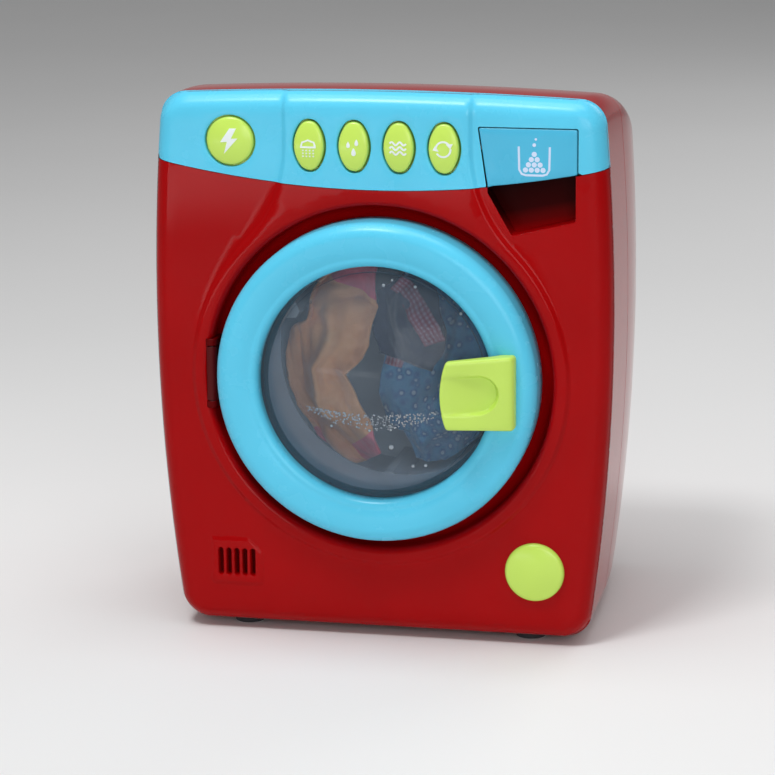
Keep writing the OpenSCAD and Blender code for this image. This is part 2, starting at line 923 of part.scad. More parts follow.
module ring_profile() {
    polygon([[window_r, flange_front_y], [window_r, crest_y + lip_rise + lip_r],
             [window_r + lip_r, crest_y + lip_rise], [ring_r - crest_r, crest_y],
             [ring_r, crest_y + crest_r], [ring_r, ring_back_y],
             [window_r + ring_t + 4, ring_back_y], [window_r + ring_t + 4, flange_front_y]]);
    translate([ring_r - crest_r, crest_y + crest_r])
        circle(crest_r);
    translate([window_r + lip_r, crest_y + lip_rise + lip_r])
        intersection() {
            circle(lip_r);
            translate([-lip_r, -lip_r])
                square([2 * lip_r, flange_front_y - crest_y - lip_rise]);
        }
}

module door_ring() {
    hollow_r = window_r + 5.6;
    color([0.42, 0.8, 0.93])
        difference() {
            union() {
                difference() {
                    turned(0, door_z)
                        ring_profile();
                    turned(0, door_z)
                        polygon([[hollow_r, crest_y + 4.4], [ring_r - crest_r, crest_y + ring_t + 0.3],
                                 [ring_r - ring_t, crest_y + crest_r + 0.6],
                                 [ring_r - ring_t, ring_back_y + 1], [hollow_r, ring_back_y + 1]]);
                }
                for (a = [45 : 90 : 315])
                    bar((ring_r - 7.6) * cos(a), door_z + (ring_r - 7.6) * sin(a), crest_y + 2,
                        ring_back_y, 2.9);
            }
            for (a = [45 : 90 : 315])
                bar((ring_r - 7.6) * cos(a), door_z + (ring_r - 7.6) * sin(a), ring_back_y - 10,
                    ring_back_y + 1, screw_r + turn_fit);
        }
}

module door_inner_ring() {
    web_x = hinge_x - 1.4;
    color([0.78, 0.04, 0.06])
        difference() {
            union() {
                turned(0, door_z)
                    polygon([[window_r - 1.2, ring_back_y + 0.1], [ring_r - 1.5, ring_back_y + 0.1],
                             [ring_r - 1.5, plate_back_y], [window_r - 1.2, plate_back_y]]);
                turned(0, door_z)
                    polygon([[window_r + 1.6, flange_front_y + flange_t + 0.1],
                             [window_r + 4, flange_front_y + flange_t + 0.1],
                             [window_r + 4, plate_back_y - 1], [window_r + 1.6, plate_back_y - 1]]);
                // gooseneck arm and knuckle
                translate([0, 0, door_z - knuckle_len / 2]) {
                    translate([hinge_x, hinge_y, 0])
                        cylinder(h = knuckle_len, r = knuckle_r - 0.1);
                    translate([web_x, hinge_y, 0])
                        cube([2.8, plate_back_y - hinge_y, knuckle_len]);
                    translate([web_x, plate_back_y - 1.8, 0])
                        cube([-hinge_x - ring_r + 10, 1.8, knuckle_len]);
                }
                // latch tongue
                translate([latch_x - 0.8, plate_back_y - eps, door_z - 6])
                    cube([1.6, 9, 12]);
            }
            for (a = [45 : 90 : 315]) {
                bar((ring_r - 7.6) * cos(a), door_z + (ring_r - 7.6) * sin(a), ring_back_y - 1,
                    plate_back_y + 1, screw_r + fit);
                bar((ring_r - 7.6) * cos(a), door_z + (ring_r - 7.6) * sin(a),
                    plate_back_y - head_h - 0.1, plate_back_y + 1, head_r + fit);
            }
            translate([hinge_x, hinge_y, door_z - knuckle_len])
                cylinder(h = 2 * knuckle_len, r = pin_r + turn_fit);
        }
}

module door_window() {
    rim = window_r - 1;
    color([0.6, 0.66, 0.72, 0.45]) {
        intersection() {
            difference() {
                translate([0, apex_y + dome_r, door_z])
                    sphere(dome_r);
                translate([0, apex_y + dome_r, door_z])
                    sphere(dome_r - window_t);
            }
            bar(0, door_z, apex_y - 1, dome_base_y + 0.4, rim);
        }
        turned(0, door_z)
            polygon([[rim - 2.4, dome_base_y], [rim, dome_base_y - eps], [rim, flange_front_y + fit],
                     [window_r + 5, flange_front_y + fit], [window_r + 5, flange_front_y + flange_t],
                     [rim - 2.4, flange_front_y + flange_t]]);
    }
}

module door_handle() {
    tip_y = apex_y - 4.3;
    root_y = crest_y - 5;
    color([0.72, 0.88, 0.3])
        difference() {
            intersection() {
                // plan shape: a pull that rises towards the window
                translate([0, 0, door_z - handle_h])
                    linear_extrude(2 * handle_h)
                        polygon([[handle_left, tip_y], [handle_right - 2, root_y],
                                 [handle_right, root_y + 1.6], [handle_right, crest_y + 1.9],
                                 [handle_left + 22.5, crest_y + 1.9],
                                 [handle_left + 19, root_y + 2.6],
                                 [handle_left + 1, tip_y + 3.2], [handle_left, tip_y + 2]]);
                // front shape: left edge curved, height drawn in a little to the left
                slab(tip_y - 5, crest_y + 10)
                    intersection() {
                        polygon([[handle_left - 2, door_z - handle_h / 2 + 1.4],
                                 [handle_right + 1, door_z - handle_h / 2],
                                 [handle_right + 1, door_z + handle_h / 2],
                                 [handle_left - 2, door_z + handle_h / 2 - 1.4]]);
                        translate([handle_left + 40, door_z])
                            circle(40);
                    }
            }
            // the handle sits on the ring's crest
            turned(0, door_z)
                offset(delta = 0.05)
                    ring_profile();
            // thumb scoop, deepest at its round end
            translate([handle_left + 14.6, tip_y + 6.65, door_z])
                rotate([0, 0, 23.5])
                    rotate([90, 0, 0])
                        linear_extrude(20)
                            union() {
                                circle(scoop_w / 2);
                                translate([-40, -scoop_w / 2])
                                    square([40, scoop_w]);
                            }
        }
}

module door_screws() {
    color([0.7, 0.7, 0.72])
        for (a = [45 : 90 : 315])
            screw((ring_r - 7.6) * cos(a), door_z + (ring_r - 7.6) * sin(a),
                  plate_back_y - head_h - 0.05, 8);
}

module hinge_pin() {
    color([0.75, 0.75, 0.78])
        translate([hinge_x, hinge_y, door_z - lug_outer])
            cylinder(h = 2 * lug_outer, r = pin_r);
}

module door_catch() {
    color([0.75, 0.75, 0.78])
        difference() {
            translate([latch_x - 3.6, floor_y + 0.05, door_z - 7.5])
                cube([8, 10, 15]);
            translate([latch_x - 2.2, floor_y - 1, door_z - 8])
                cube([5.2, 9.6, 16]);
        }
}

module filter_cap() {
    x = cap_x;
    z = cap_z;
    color([0.72, 0.88, 0.3]) {
        intersection() {
            bar(x, z, front_y - 6, front_y - 0.05, cap_r);
            translate([x, front_y - 3.4 + 45, z])
                sphere(45, $fn = 240);
        }
        difference() {
            bar(x, z, front_y - 0.1, skin_back_y + 2.4, cap_r - 4);
            bar(x, z, front_y + 0.4, skin_back_y + 3, cap_r - 5.5);
        }
    }
}

// ---- tub, drum and drive ----

module tub() {
    color([0.62, 0.63, 0.65])
        difference() {
            union() {
                turned(0, door_z)
                    polygon([[tub_out_r, floor_y + 0.2], [tub_out_r, tub_back_y], [0, tub_back_y],
                             [0, tub_back_y - tub_t], [tub_in_r, tub_back_y - tub_t],
                             [tub_in_r, floor_y + 0.2]]);
                bar(0, door_z, tub_back_y - 1, boss_y, 8);
                bar(0, door_z + idler_dz, tub_back_y - 1, boss_y, 3.5);
                for (p = cover_spots)
                    bar(p[0], p[1], tub_back_y - 1, cover_y, 3.2);
                for (p = tub_spots)
                    tub_ear(p);
            }
            bar(0, door_z, tub_back_y - tub_t - 1, boss_y + 1, shaft_r + 2 + turn_fit / 2);
            bar(0, door_z + idler_dz, boss_y - 5, boss_y + 1, 1.5 + turn_fit / 2);
            for (p = cover_spots)
                bar(p[0], p[1], cover_y - 10, cover_y + 1, screw_r + turn_fit);
            for (p = tub_spots)
                bar(p[0], p[1], tub_ear_y - 1, tub_ear_y + 4, screw_r + fit);
        }
}

module tub_ear(p) {
    d = p - [0, door_z];
    u = d / norm(d);
    n = [-u[1], u[0]] * (tower_r - 0.5);
    inner = [0, door_z] + u * (tub_in_r + 1);
    bar(p[0], p[1], tub_ear_y, tub_ear_y + 2.5, tower_r - 0.5);
    slab(tub_ear_y, tub_ear_y + 2.5)
        polygon([inner + n, p + n, p - n, inner - n]);
}

module tub_screws() {
    color([0.7, 0.7, 0.72])
        for (p = tub_spots)
            screw(p[0], p[1], tub_ear_y + 2.5, 10);
}

module drum() {
    row = (drum_depth - 14) / drum_rows;
    color([0.68, 0.69, 0.7])
        difference() {
            union() {
                turned(0, door_z)
                    polygon([[drum_r - 3, drum_front_y], [drum_r, drum_front_y + 1.2],
                             [drum_r, drum_back_y], [0, drum_back_y], [0, drum_back_y - 2],
                             [drum_r - drum_t, drum_back_y - 2], [drum_r - drum_t, drum_front_y + 3],
                             [drum_r - 3.4, drum_front_y + 1.2]]);
                bar(0, door_z, drum_back_y - 6, drum_back_y + 2, 6.5);
                for (a = [30, 150, 270])
                    translate([0, drum_back_y - 1, door_z])
                        rotate([0, -a, 0])
                            rotate([90, 0, 0])
                                linear_extrude(drum_depth - 6)
                                    polygon([[drum_r - 0.5, -6], [drum_r - lifter_h, -1.6],
                                             [drum_r - lifter_h, 1.6], [drum_r - 0.5, 6]]);
            }
            bar(0, door_z, drum_back_y - 4, drum_back_y + 3, shaft_r + turn_fit / 2);
            for (k = [0 : drum_rows - 1], a = [0 : 360 / drum_holes : 359])
                if (abs((a + 30) % 120 - 60) > 12)
                    translate([0, drum_front_y + 9 + row * (k + 0.5), door_z])
                        rotate([0, 90 - a, 0])
                            translate([0, 0, drum_r - 5])
                                cylinder(h = 10, r = drum_hole_r);
        }
}

module drum_shaft() {
    color([0.78, 0.78, 0.8])
        bar(0, door_z, drum_back_y - 3.9, cover_y + cover_t - 0.3, shaft_r);
}

module shaft_bush() {
    color([0.8, 0.65, 0.3])
        difference() {
            bar(0, door_z, tub_back_y - tub_t + 0.1, boss_y, shaft_r + 2);
            bar(0, door_z, tub_back_y - tub_t - 1, boss_y + 1, shaft_r + turn_fit);
        }
}

// Outline of a spur gear with a tooth on the +X axis: flanks bowed like an involute
module spur(teeth, thin) {
    m = gear_module;
    r = m * teeth / 2;
    root = r - 1.2 * m;
    tip = r + 0.95 * m;
    half = (PI * m / 4 - thin / 2) / r * 180 / PI;
    widths = [[root, 1.55], [r - 0.45 * m, 1.3], [r, 1], [r + 0.5 * m, 0.68], [tip, 0.36]];
    polygon([for (i = [0 : teeth - 1], w = concat([for (w = widths) [w[0], -w[1]]],
                                                 [for (j = [4 : -1 : 0]) widths[j]]))
        let (a = 360 * i / teeth + half * w[1])
        [w[0] * cos(a), w[0] * sin(a)]]);
}

module gear(x, z, y0, w, teeth, phase = 0) {
    translate([x, y0 + w, z])
        rotate([90, 0, 0])
            linear_extrude(w)
                rotate(phase)
                    spur(teeth, backlash);
}

module drum_gear() {
    color([0.92, 0.92, 0.9])
        difference() {
            union() {
                gear(0, door_z, gear_y, gear_w, drum_teeth);
                bar(0, door_z, gear_y - 1.2, gear_y + gear_w + 1, 6);
            }
            bar(0, door_z, gear_y - 2, gear_y + gear_w + 2, shaft_r + turn_fit / 2);
            for (a = [0 : 60 : 300])
                bar(13.5 * cos(a), door_z + 13.5 * sin(a), gear_y - 1, gear_y + gear_w + 1, 4);
        }
}

module idler_gear() {
    z = door_z + idler_dz;
    color([0.9, 0.9, 0.88])
        difference() {
            union() {
                gear(0, z, gear_y - 0.4, gear_w + 2, pinion_teeth, 180 / pinion_teeth);
                gear(0, z, big_gear_y, big_gear_w, idler_teeth);
                bar(0, z, boss_y + 0.3, cover_y - 0.3, 3);
            }
            bar(0, z, boss_y, cover_y, 1.5 + turn_fit);
        }
}

module idler_axle() {
    color([0.78, 0.78, 0.8])
        bar(0, door_z + idler_dz, boss_y - 4.9, cover_y + cover_t - 0.3, 1.5);
}

module motor_pinion() {
    z = door_z + motor_dz;
    color([0.85, 0.7, 0.35])
        difference() {
            gear(0, z, big_gear_y - 0.4, big_gear_w + 1.4, pinion_teeth, 180 / pinion_teeth);
            bar(0, z, big_gear_y - 1, cover_y, 1 + turn_fit / 2);
        }
}

module motor_shaft() {
    color([0.78, 0.78, 0.8])
        bar(0, door_z + motor_dz, big_gear_y - 0.4, cover_y + cover_t + motor_len - 2, 1);
}

module motor() {
    z = door_z + motor_dz;
    y0 = cover_y + cover_t + 0.1;
    color([0.72, 0.73, 0.75])
        difference() {
            union() {
                intersection() {
                    bar(0, z, y0, y0 + motor_len, motor_r);
                    slab(y0, y0 + motor_len)
                        translate([-motor_r, z - 0.75 * motor_r])
                            square([2 * motor_r, 1.5 * motor_r]);
                }
                bar(0, z, y0 + motor_len - eps, y0 + motor_len + 1.6, 3);
            }
            bar(0, z, y0 - 1, y0 + motor_len - 1, 1 + turn_fit);
        }
}

module gearbox_cover() {
    z = door_z + motor_dz;
    color([0.82, 0.82, 0.8])
        difference() {
            union() {
                slab(cover_y, cover_y + cover_t)
                    polygon([[-29, door_z - 25], [29, door_z - 25], [29, door_z + 46],
                             [15, z + 14], [-15, z + 14], [-29, door_z + 46]]);
                // cradle that holds the motor by its flats
                for (side = [-1, 1])
                    slab(cover_y + cover_t - eps, cover_y + cover_t + 0.7 * motor_len)
                        translate([-7, z + side * (0.75 * motor_r + fit + 0.9) - 0.9])
                            square([14, 1.8]);
            }
            bar(0, door_z, cover_y - 1, cover_y + cover_t + 1, shaft_r + turn_fit);
            bar(0, door_z + idler_dz, cover_y - 1, cover_y + cover_t + 1, 1.5 + turn_fit / 2);
            bar(0, z, cover_y - 1, cover_y + cover_t + 1, 3.2);
            for (p = cover_spots)
                bar(p[0], p[1], cover_y - 1, cover_y + cover_t + 1, screw_r + fit);
        }
}

module gearbox_screws() {
    color([0.7, 0.7, 0.72])
        for (p = cover_spots)
            screw(p[0], p[1], cover_y + cover_t, 8);
}

// ---- speaker ----

module speaker() {
    y = speaker_y + 0.05;
    color([0.2, 0.2, 0.22]) {
        turned(-grille_x, grille_z)
            polygon([[0, y + 3], [4, y + 3], [speaker_r - 3, y], [speaker_r, y], [speaker_r, y + 2],
                     [9, y + 4], [9, y + 8], [0, y + 8]]);
    }
}

module speaker_clamp() {
    y = clamp_y;
    color([0.82, 0.82, 0.8])
        difference() {
            union() {
                bar(-grille_x, grille_z, y + 0.05, y + clamp_t, speaker_r);
                for (p = clamp_spots)
                    bar(p[0], p[1], y + 0.05, y + clamp_t, clamp_ear_r);
            }
            bar(-grille_x, grille_z, y - 1, y + 3, 9.3);
        }
}

// ---- batteries ----

module cell_places() {
    for (i = [0 : cells - 1])
        translate([(i - (cells - 1) / 2) * (2 * cell_r + 0.6), box_y0 + box_t + 0.4 + cell_r,
                   box_z0 + box_t + 2.6])
            children();
}

module battery_box() {
    color([0.15, 0.15, 0.17])
        difference() {
            translate([-box_w / 2, box_y0, box_z0])
                cube([box_w, box_depth, box_h]);
            translate([-box_w / 2 + box_t, box_y0 + box_t, box_z0 + box_t])
                cube([box_w - 2 * box_t, box_depth, box_h - 2 * box_t]);
        }
}

module batteries() {
    color([0.35, 0.5, 0.3])
        cell_places() {
            cylinder(h = cell_len, r = cell_r);
            cylinder(h = cell_len + 1.3, r = 2.7);
        }
}

module battery_contacts() {
    color([0.8, 0.8, 0.82])
        cell_places() {
            translate([-5, -5, -2.5])
                cube([10, 10, 0.5]);
            for (k = [0 : 2])
                translate([0, 0, -2.05 + k * 0.65])
                    cylinder(h = 0.7, r1 = 4 - k, r2 = 3.4 - k);
            translate([-5, -5, cell_len + 1.35])
                cube([10, 10, 0.5]);
        }
}

module battery_door() {
    color([0.72, 0.04, 0.06])
        difference() {
            slab(back_depth - door_t - 0.1, back_depth - 0.1)
                battery_door_shape(fit);
            bar(0, tab_z, back_depth - 3, back_depth, screw_r + fit);
            bar(0, tab_z, back_depth - 0.2 - head_h, back_depth, head_r + fit);
            for (i = [-2 : 2])
                translate([i * 5 - 1.2, back_depth - 0.9, box_z0 + 2])
                    cube([2.4, 2, 9]);
        }
}

module battery_door_screw() {
    color([0.7, 0.7, 0.72])
        difference() {
            screw(0, tab_z, back_depth - 0.15 - head_h, 7.5);
            translate([-3, back_depth - 0.6, tab_z - 0.4])
                cube([6, 2, 0.8]);
        }
}

module case_screws() {
    color([0.7, 0.7, 0.72])
        for (p = case_spots)
            screw(p[0], p[1], head_seat_y, head_seat_y + 12);
}

// ---- laundry: plain soft bundles lying against the drum's lifters ----

// A soft bundle through balls at spots [x, y, z, radius], given for a drum of bundle_drum_r
module bundle(spots) {
    k = drum_r / bundle_drum_r;
    intersection() {
        hull()
            for (s = spots)
                translate([k * s[0], drum_front_y + s[1], door_z + k * s[2]])
                    sphere(k * s[3], $fn = 20);
        bar(0, door_z, drum_front_y, drum_back_y, drum_r - lifter_h - 2 * fit);
    }
}

module laundry_orange() {
    color([0.93, 0.62, 0.4])
        bundle([[-28, 18, 22, 11], [-8, 19, 24, 9], [-26, 19, -8, 12], [-6, 18, -33, 11]]);
}

module laundry_navy() {
    color([0.12, 0.15, 0.3])
        bundle([[12.1, 18, 22, 10.5], [28, 19, 20, 10], [17, 20, 4.6, 10]]);
}

module laundry_blue() {
    color([0.35, 0.55, 0.8])
        bundle([[30.5, 18, -8.6, 8], [20.5, 19, -16.5, 10], [14, 18, -28, 7]]);
}

front_shell();
rear_shell();
control_panel();
power_button();
mode_button_1();
mode_button_2();
mode_button_3();
mode_button_4();
keypad();
circuit_board();
board_screws();
detergent_drawer();
drawer_guide();
door_ring();
door_inner_ring();
door_window();
door_handle();
door_screws();
hinge_pin();
door_catch();
filter_cap();
tub();
tub_screws();
drum();
drum_shaft();
shaft_bush();
drum_gear();
idler_gear();
idler_axle();
motor();
motor_shaft();
motor_pinion();
gearbox_cover();
gearbox_screws();
speaker();
speaker_clamp();
battery_box();
batteries();
battery_contacts();
battery_door();
battery_door_screw();
case_screws();
feet();
laundry_orange();
laundry_navy();
laundry_blue();
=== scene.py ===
import random
from math import atan2, ceil, cos, dist as distance, exp, hypot, pi, radians, sin, sqrt, tan

import bmesh
import bpy
from mathutils import Matrix, Vector, noise
from mathutils.bvhtree import BVHTree
from mathutils.geometry import delaunay_2d_cdt


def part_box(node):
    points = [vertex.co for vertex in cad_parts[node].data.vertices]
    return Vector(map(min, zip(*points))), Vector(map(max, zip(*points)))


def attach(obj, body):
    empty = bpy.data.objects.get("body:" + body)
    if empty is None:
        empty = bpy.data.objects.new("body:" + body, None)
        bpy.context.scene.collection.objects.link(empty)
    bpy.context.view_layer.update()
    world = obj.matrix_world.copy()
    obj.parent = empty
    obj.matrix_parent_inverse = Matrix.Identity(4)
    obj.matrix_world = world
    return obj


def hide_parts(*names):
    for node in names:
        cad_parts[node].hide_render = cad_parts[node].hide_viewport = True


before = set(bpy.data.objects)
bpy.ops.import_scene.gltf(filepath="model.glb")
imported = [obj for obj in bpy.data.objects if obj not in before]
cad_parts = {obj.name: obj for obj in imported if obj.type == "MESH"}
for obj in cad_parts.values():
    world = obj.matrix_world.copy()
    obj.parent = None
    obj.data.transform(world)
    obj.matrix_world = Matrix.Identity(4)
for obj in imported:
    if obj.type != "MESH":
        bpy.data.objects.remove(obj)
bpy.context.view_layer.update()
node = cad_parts
MM = 0.001
scene = bpy.context.scene

# ---- sizes of the solids, in millimetres ----
FRONT_Y, LAND_RISE, LAND_R, NECK, FLANK_R = -48.4, 1.6, 77.5, 38.0, 60.0
LAND_Y = FRONT_Y - LAND_RISE
HALF, BELLY_Z, SIDE_R, TOP_R, TOP_Z, FOOT, CORNER = 94.8, 135.0, 900.0, 1600.0, 227.0, 3.0, 11.0
EDGE_R, FALL_Y, FALL_R, SIDE_FALL_R = 8.0, -40.4, 270.0, 420.0
PANEL_LOW, PANEL_ARC = 187.8, 420.0
DOOR_Z, GROOVE_Y, APEX_Y = 110.0, -38.5, -70.0
GROOVE_R, GROOVE_WALL_R, SEAL_R, MOUTH_R = 73.6, 71.0, 56.5, 52.0
RING_R, GLASS_R, DOME_RISE, GLASS_WALL = 66.0, 47.2, 15.8, 1.8
PULL_Y = APEX_Y - 4.3                                   # the handle's foremost edge
FLANK_Z = DOOR_Z + sqrt((LAND_R + FLANK_R) ** 2 - (NECK + FLANK_R) ** 2)
BUTTON_Z, PITCH, POWER_X, POWER_Z = 205.3, 18.3, 60.5, 206.2
MODE_X = [(i - 1.5) * PITCH for i in range(4)]
POWER_R, HOLE_GAP, OVAL_GAP, FLANGE_GROW = 9.75, 0.7, 0.45, 1.75
GRILLE_X, GRILLE_Z, SLOT_PITCH, SLOT_R, SLOT_LOW, SLOT_HIGH = -61, 30, 3.4, 1.0, 24.0, 35.5
POCKET_LEFT, POCKET_RIGHT, POCKET_Y, POCKET_R = 44.6, 80.0, -38.45, 1.2
DRAWER_LEFT, DRAWER_RIGHT, DRAWER_TOP, DRAWER_MID = 44.5, 80.6, 213.9, (62.0, 201.0)
CAP_X, CAP_Z, CAP_R = 64, 32, 12.2
GAP = 0.12                                              # half the gap between panel and shell
BUTTON_RISE, BUTTON_CROWN_R, CAP_BACK_Y = 1.9, 30.0, -46.0


# ---- materials ----
def principled(name):
    m = bpy.data.materials.new(name)
    m.use_nodes = True
    return m, m.node_tree, m.node_tree.nodes["Principled BSDF"]


def link(out, into):
    into.id_data.links.new(out, into)


def put(n, **inputs):
    for k, v in inputs.items():
        n.inputs[k.replace("_", " ")].default_value = v


def add(nt, kind, **inputs):
    n = nt.nodes.new("ShaderNode" + kind)
    put(n, **inputs)
    return n


def ramp(nt, fac, stops):
    """A colour ramp; a stop's colour is a tuple, or one number for a grey."""
    r = add(nt, "ValToRGB")
    e = r.color_ramp.elements
    while len(e) < len(stops):
        e.new(0.5)
    for el, (p, c) in zip(e, stops):
        el.position = p
        el.color = (*c, 1) if isinstance(c, tuple) else (c, c, c, 1)
    link(fac, r.inputs["Fac"])
    return r.outputs["Color"]


def placed(nt, n, socket="Vector"):
    """Gives the node n its place in the object's own space."""
    link(add(nt, "TexCoord").outputs["Object"], n.inputs[socket])
    return n


def texture(nt, scale, detail, **more):
    return placed(nt, add(nt, "TexNoise", Scale=scale, Detail=detail, **more)).outputs["Fac"]


def remap(nt, value, to, span=(0.0, 1.0)):
    mr = add(nt, "MapRange", From_Min=span[0], From_Max=span[1], To_Min=to[0], To_Max=to[1])
    link(value, mr.inputs["Value"])
    return mr.outputs["Result"]


def plastic(name, colour, rough, coat, mottle, peel, round_mm, spec=0.5):
    """Moulded plastic: slight colour drift, uneven gloss, a faint orange peel and soft edges."""
    m, nt, b = principled(name)
    tones = [(0.3, tuple(c * (1 - mottle) for c in colour)), (0.7, tuple(min(1, c * (1 + mottle)) for c in colour))]
    link(ramp(nt, texture(nt, 28.0, 3.0), tones), b.inputs["Base Color"])
    link(remap(nt, texture(nt, 90.0, 4.0), (rough * 0.85, rough * 1.2), (0.3, 0.7)), b.inputs["Roughness"])
    bump = add(nt, "Bump", Strength=peel, Distance=0.0004)
    link(texture(nt, 900.0, 2.0), bump.inputs["Height"])
    if round_mm:
        bev = add(nt, "Bevel", Radius=round_mm * MM)
        bev.samples = 4
        link(bev.outputs["Normal"], bump.inputs["Normal"])
    link(bump.outputs["Normal"], b.inputs["Normal"])
    put(b, Coat_Weight=coat, Coat_Roughness=0.06, Specular_IOR_Level=spec)
    return m


def graded(name, along, span, stops, spec):
    """Moulded plastic whose colour runs through stops along one direction, over span in metres."""
    m, nt, b = principled(name)
    dot = placed(nt, add(nt, "VectorMath"), 0)
    dot.operation = "DOT_PRODUCT"
    dot.inputs[1].default_value = along
    link(ramp(nt, remap(nt, dot.outputs["Value"], (0.0, 1.0), span), stops), b.inputs["Base Color"])
    link(ramp(nt, texture(nt, 90.0, 4.0), [(0.3, 0.3), (0.7, 0.4)]), b.inputs["Roughness"])
    put(b, Specular_IOR_Level=spec)
    return m


def metal(name, colour, rough):
    m, nt, b = principled(name)
    grain = texture(nt, 300.0, 4.0)
    link(ramp(nt, grain, [(0.3, tuple(c * 0.88 for c in colour)), (0.7, colour)]), b.inputs["Base Color"])
    link(remap(nt, grain, (rough * 0.8, rough * 1.4)), b.inputs["Roughness"])
    put(b, Metallic=1.0)
    return m


RED = plastic("red_plastic", (0.33, 0.001, 0.0018), 0.1, 0.0, 0.05, 0.005, 0.5, 0.1)
BLUE = plastic("blue_plastic", (0.095, 0.55, 0.78), 0.25, 0.0, 0.03, 0.01, 0.4, 0.28)
BLUE_D = plastic("blue_drawer_plastic", (0.065, 0.44, 0.66), 0.25, 0.0, 0.03, 0.01, 0.4, 0.3)
GREEN = plastic("green_plastic", (0.52, 0.74, 0.11), 0.22, 0.1, 0.04, 0.012, 0.5, 0.4)
GREY = plastic("grey_plastic", (0.33, 0.34, 0.36), 0.45, 0.0, 0.08, 0.05, 0.3)
DRUM = plastic("drum_plastic", (0.46, 0.50, 0.53), 0.35, 0.0, 0.06, 0.04, 0.3)
WHITE = plastic("white_plastic", (0.78, 0.78, 0.74), 0.4, 0.0, 0.03, 0.03, 0.2)
BLACK = plastic("black_plastic", (0.015, 0.015, 0.018), 0.45, 0.0, 0.1, 0.08, 0.3)
# the speaker's paper cone, its red a painted reflection: it stands in for red light inside the grille's slots
CONE_RED_REFLECTION = plastic("speaker_paper_red_reflection", (0.2, 0.002, 0.003), 0.7, 0.0, 0.15, 0.15, 0.3, 0.03)
BOARD = plastic("board_mask", (0.01, 0.13, 0.045), 0.35, 0.2, 0.15, 0.03, 0.0)
RUBBER = plastic("grey_rubber", (0.03, 0.03, 0.034), 0.7, 0.0, 0.15, 0.15, 0.4)
SEAL = plastic("mouth_seal", (0.07, 0.085, 0.095), 0.5, 0.0, 0.1, 0.1, 0.4)
KEYPAD = plastic("keypad_rubber", (0.24, 0.24, 0.26), 0.6, 0.0, 0.08, 0.08, 0.3)
CELL = plastic("cell_jacket", (0.06, 0.2, 0.09), 0.3, 0.3, 0.08, 0.02, 0.3)
PRINT = plastic("pale_print", (0.74, 0.80, 0.80), 0.4, 0.1, 0.03, 0.02, 0.0)
PRINT_L = plastic("lilac_print", (0.55, 0.66, 0.84), 0.4, 0.1, 0.03, 0.02, 0.0)
STEEL = metal("zinc_steel", (0.62, 0.62, 0.64), 0.32)
CAN = metal("motor_can", (0.55, 0.56, 0.58), 0.38)
BRASS = metal("turned_brass", (0.70, 0.50, 0.20), 0.3)
# painted shade: the deep pocket's colour darkens away from its lower edge, where the light comes in
POCKET_PAINTED_SHADE = graded("red_pocket_painted_shade", (-0.2, 0.0, 1.0), (0.1595, 0.1815),
                    [(0.0, (0.34, 0.001, 0.002)), (0.16, (0.16, 0.0006, 0.001)), (0.42, (0.035, 0.0002, 0.0004)),
                     (1.0, (0.01, 0.0001, 0.0002))], 0.03)
# the door's inner ring: dark teal round the window, and dark red painted shade on the knuckle that lies in the groove
INNER_RING_KNUCKLE_SHADE = graded("inner_ring", (1.0, 0.0, 0.0), (-0.0672, -0.066),
                 [(0.0, (0.075, 0.0006, 0.001)), (1.0, (0.045, 0.16, 0.21))], 0.15)
# painted shade: the body's red darkened, for the hinge lugs that lie in shade
RED_PAINTED_SHADE = plastic("red_painted_shade", (0.1, 0.0005, 0.0009), 0.3, 0.0, 0.05, 0.02, 0.3, spec=0.05)


def clear(name, tint, weight, base, power, rim=None, most=0.6):
    """Clear plastic: straight-through light with a glossy face on top. If a rim colour is named, the colour runs from
    the base face-on to that dark rim at the edges: a painted highlight and painted shade.
    """
    m, nt, b = principled(name)
    if rim:
        # painted highlight and painted shade: pale where the face looks straight on, dark towards the outline
        facing_paint = add(nt, "LayerWeight", Blend=0.5)
        colour = ramp(nt, facing_paint.outputs["Facing"], [(0.3, base), (0.62, rim)])
    else:
        colour = ramp(nt, texture(nt, 60.0, 5.0), [(0.35, base), (0.7, tuple(min(1, c * 1.15) for c in base))])
    link(colour, b.inputs["Base Color"])
    put(b, Roughness=0.05, Specular_IOR_Level=0.5)
    lw = add(nt, "LayerWeight", Blend=power)
    tr = add(nt, "BsdfTransparent", Color=(*tint, 1))
    mix = add(nt, "MixShader")
    link(remap(nt, lw.outputs["Fresnel"], (weight, most)), mix.inputs["Fac"])
    link(tr.outputs["BSDF"], mix.inputs[1])
    link(b.outputs["BSDF"], mix.inputs[2])
    link(mix.outputs["Shader"], nt.nodes["Material Output"].inputs["Surface"])
    return m


GLASS = clear("clear_window", (0.88, 0.91, 0.94), 0.11, (0.25, 0.31, 0.38), 0.3)
# the beads: a pale centre as painted highlight, a dark rim as painted shade
BEAD_PAINTED_LIGHT = clear("clear_beads_painted_light", (0.90, 0.93, 0.95), 0.7, (0.80, 0.83, 0.85), 0.6, (0.02, 0.025, 0.03), 0.95)


def cloth_material(name, colours, scale, printed=False):
    m, nt, b = principled(name)
    if printed:
        vor = placed(nt, add(nt, "TexVoronoi", Scale=scale))
        col = ramp(nt, vor.outputs["Distance"], list(zip((0.18, 0.3, 0.62), colours)))
    else:
        col = ramp(nt, texture(nt, scale, 6.0, Roughness=0.7), list(zip((0.3, 0.6, 0.8), colours)))
    link(col, b.inputs["Base Color"])
    put(b, Roughness=0.9, Sheen_Weight=0.35, Sheen_Roughness=0.5)
    bump = add(nt, "Bump", Strength=0.5, Distance=0.0006)
    link(texture(nt, 1600.0, 3.0), bump.inputs["Height"])
    link(bump.outputs["Normal"], b.inputs["Normal"])
    return m


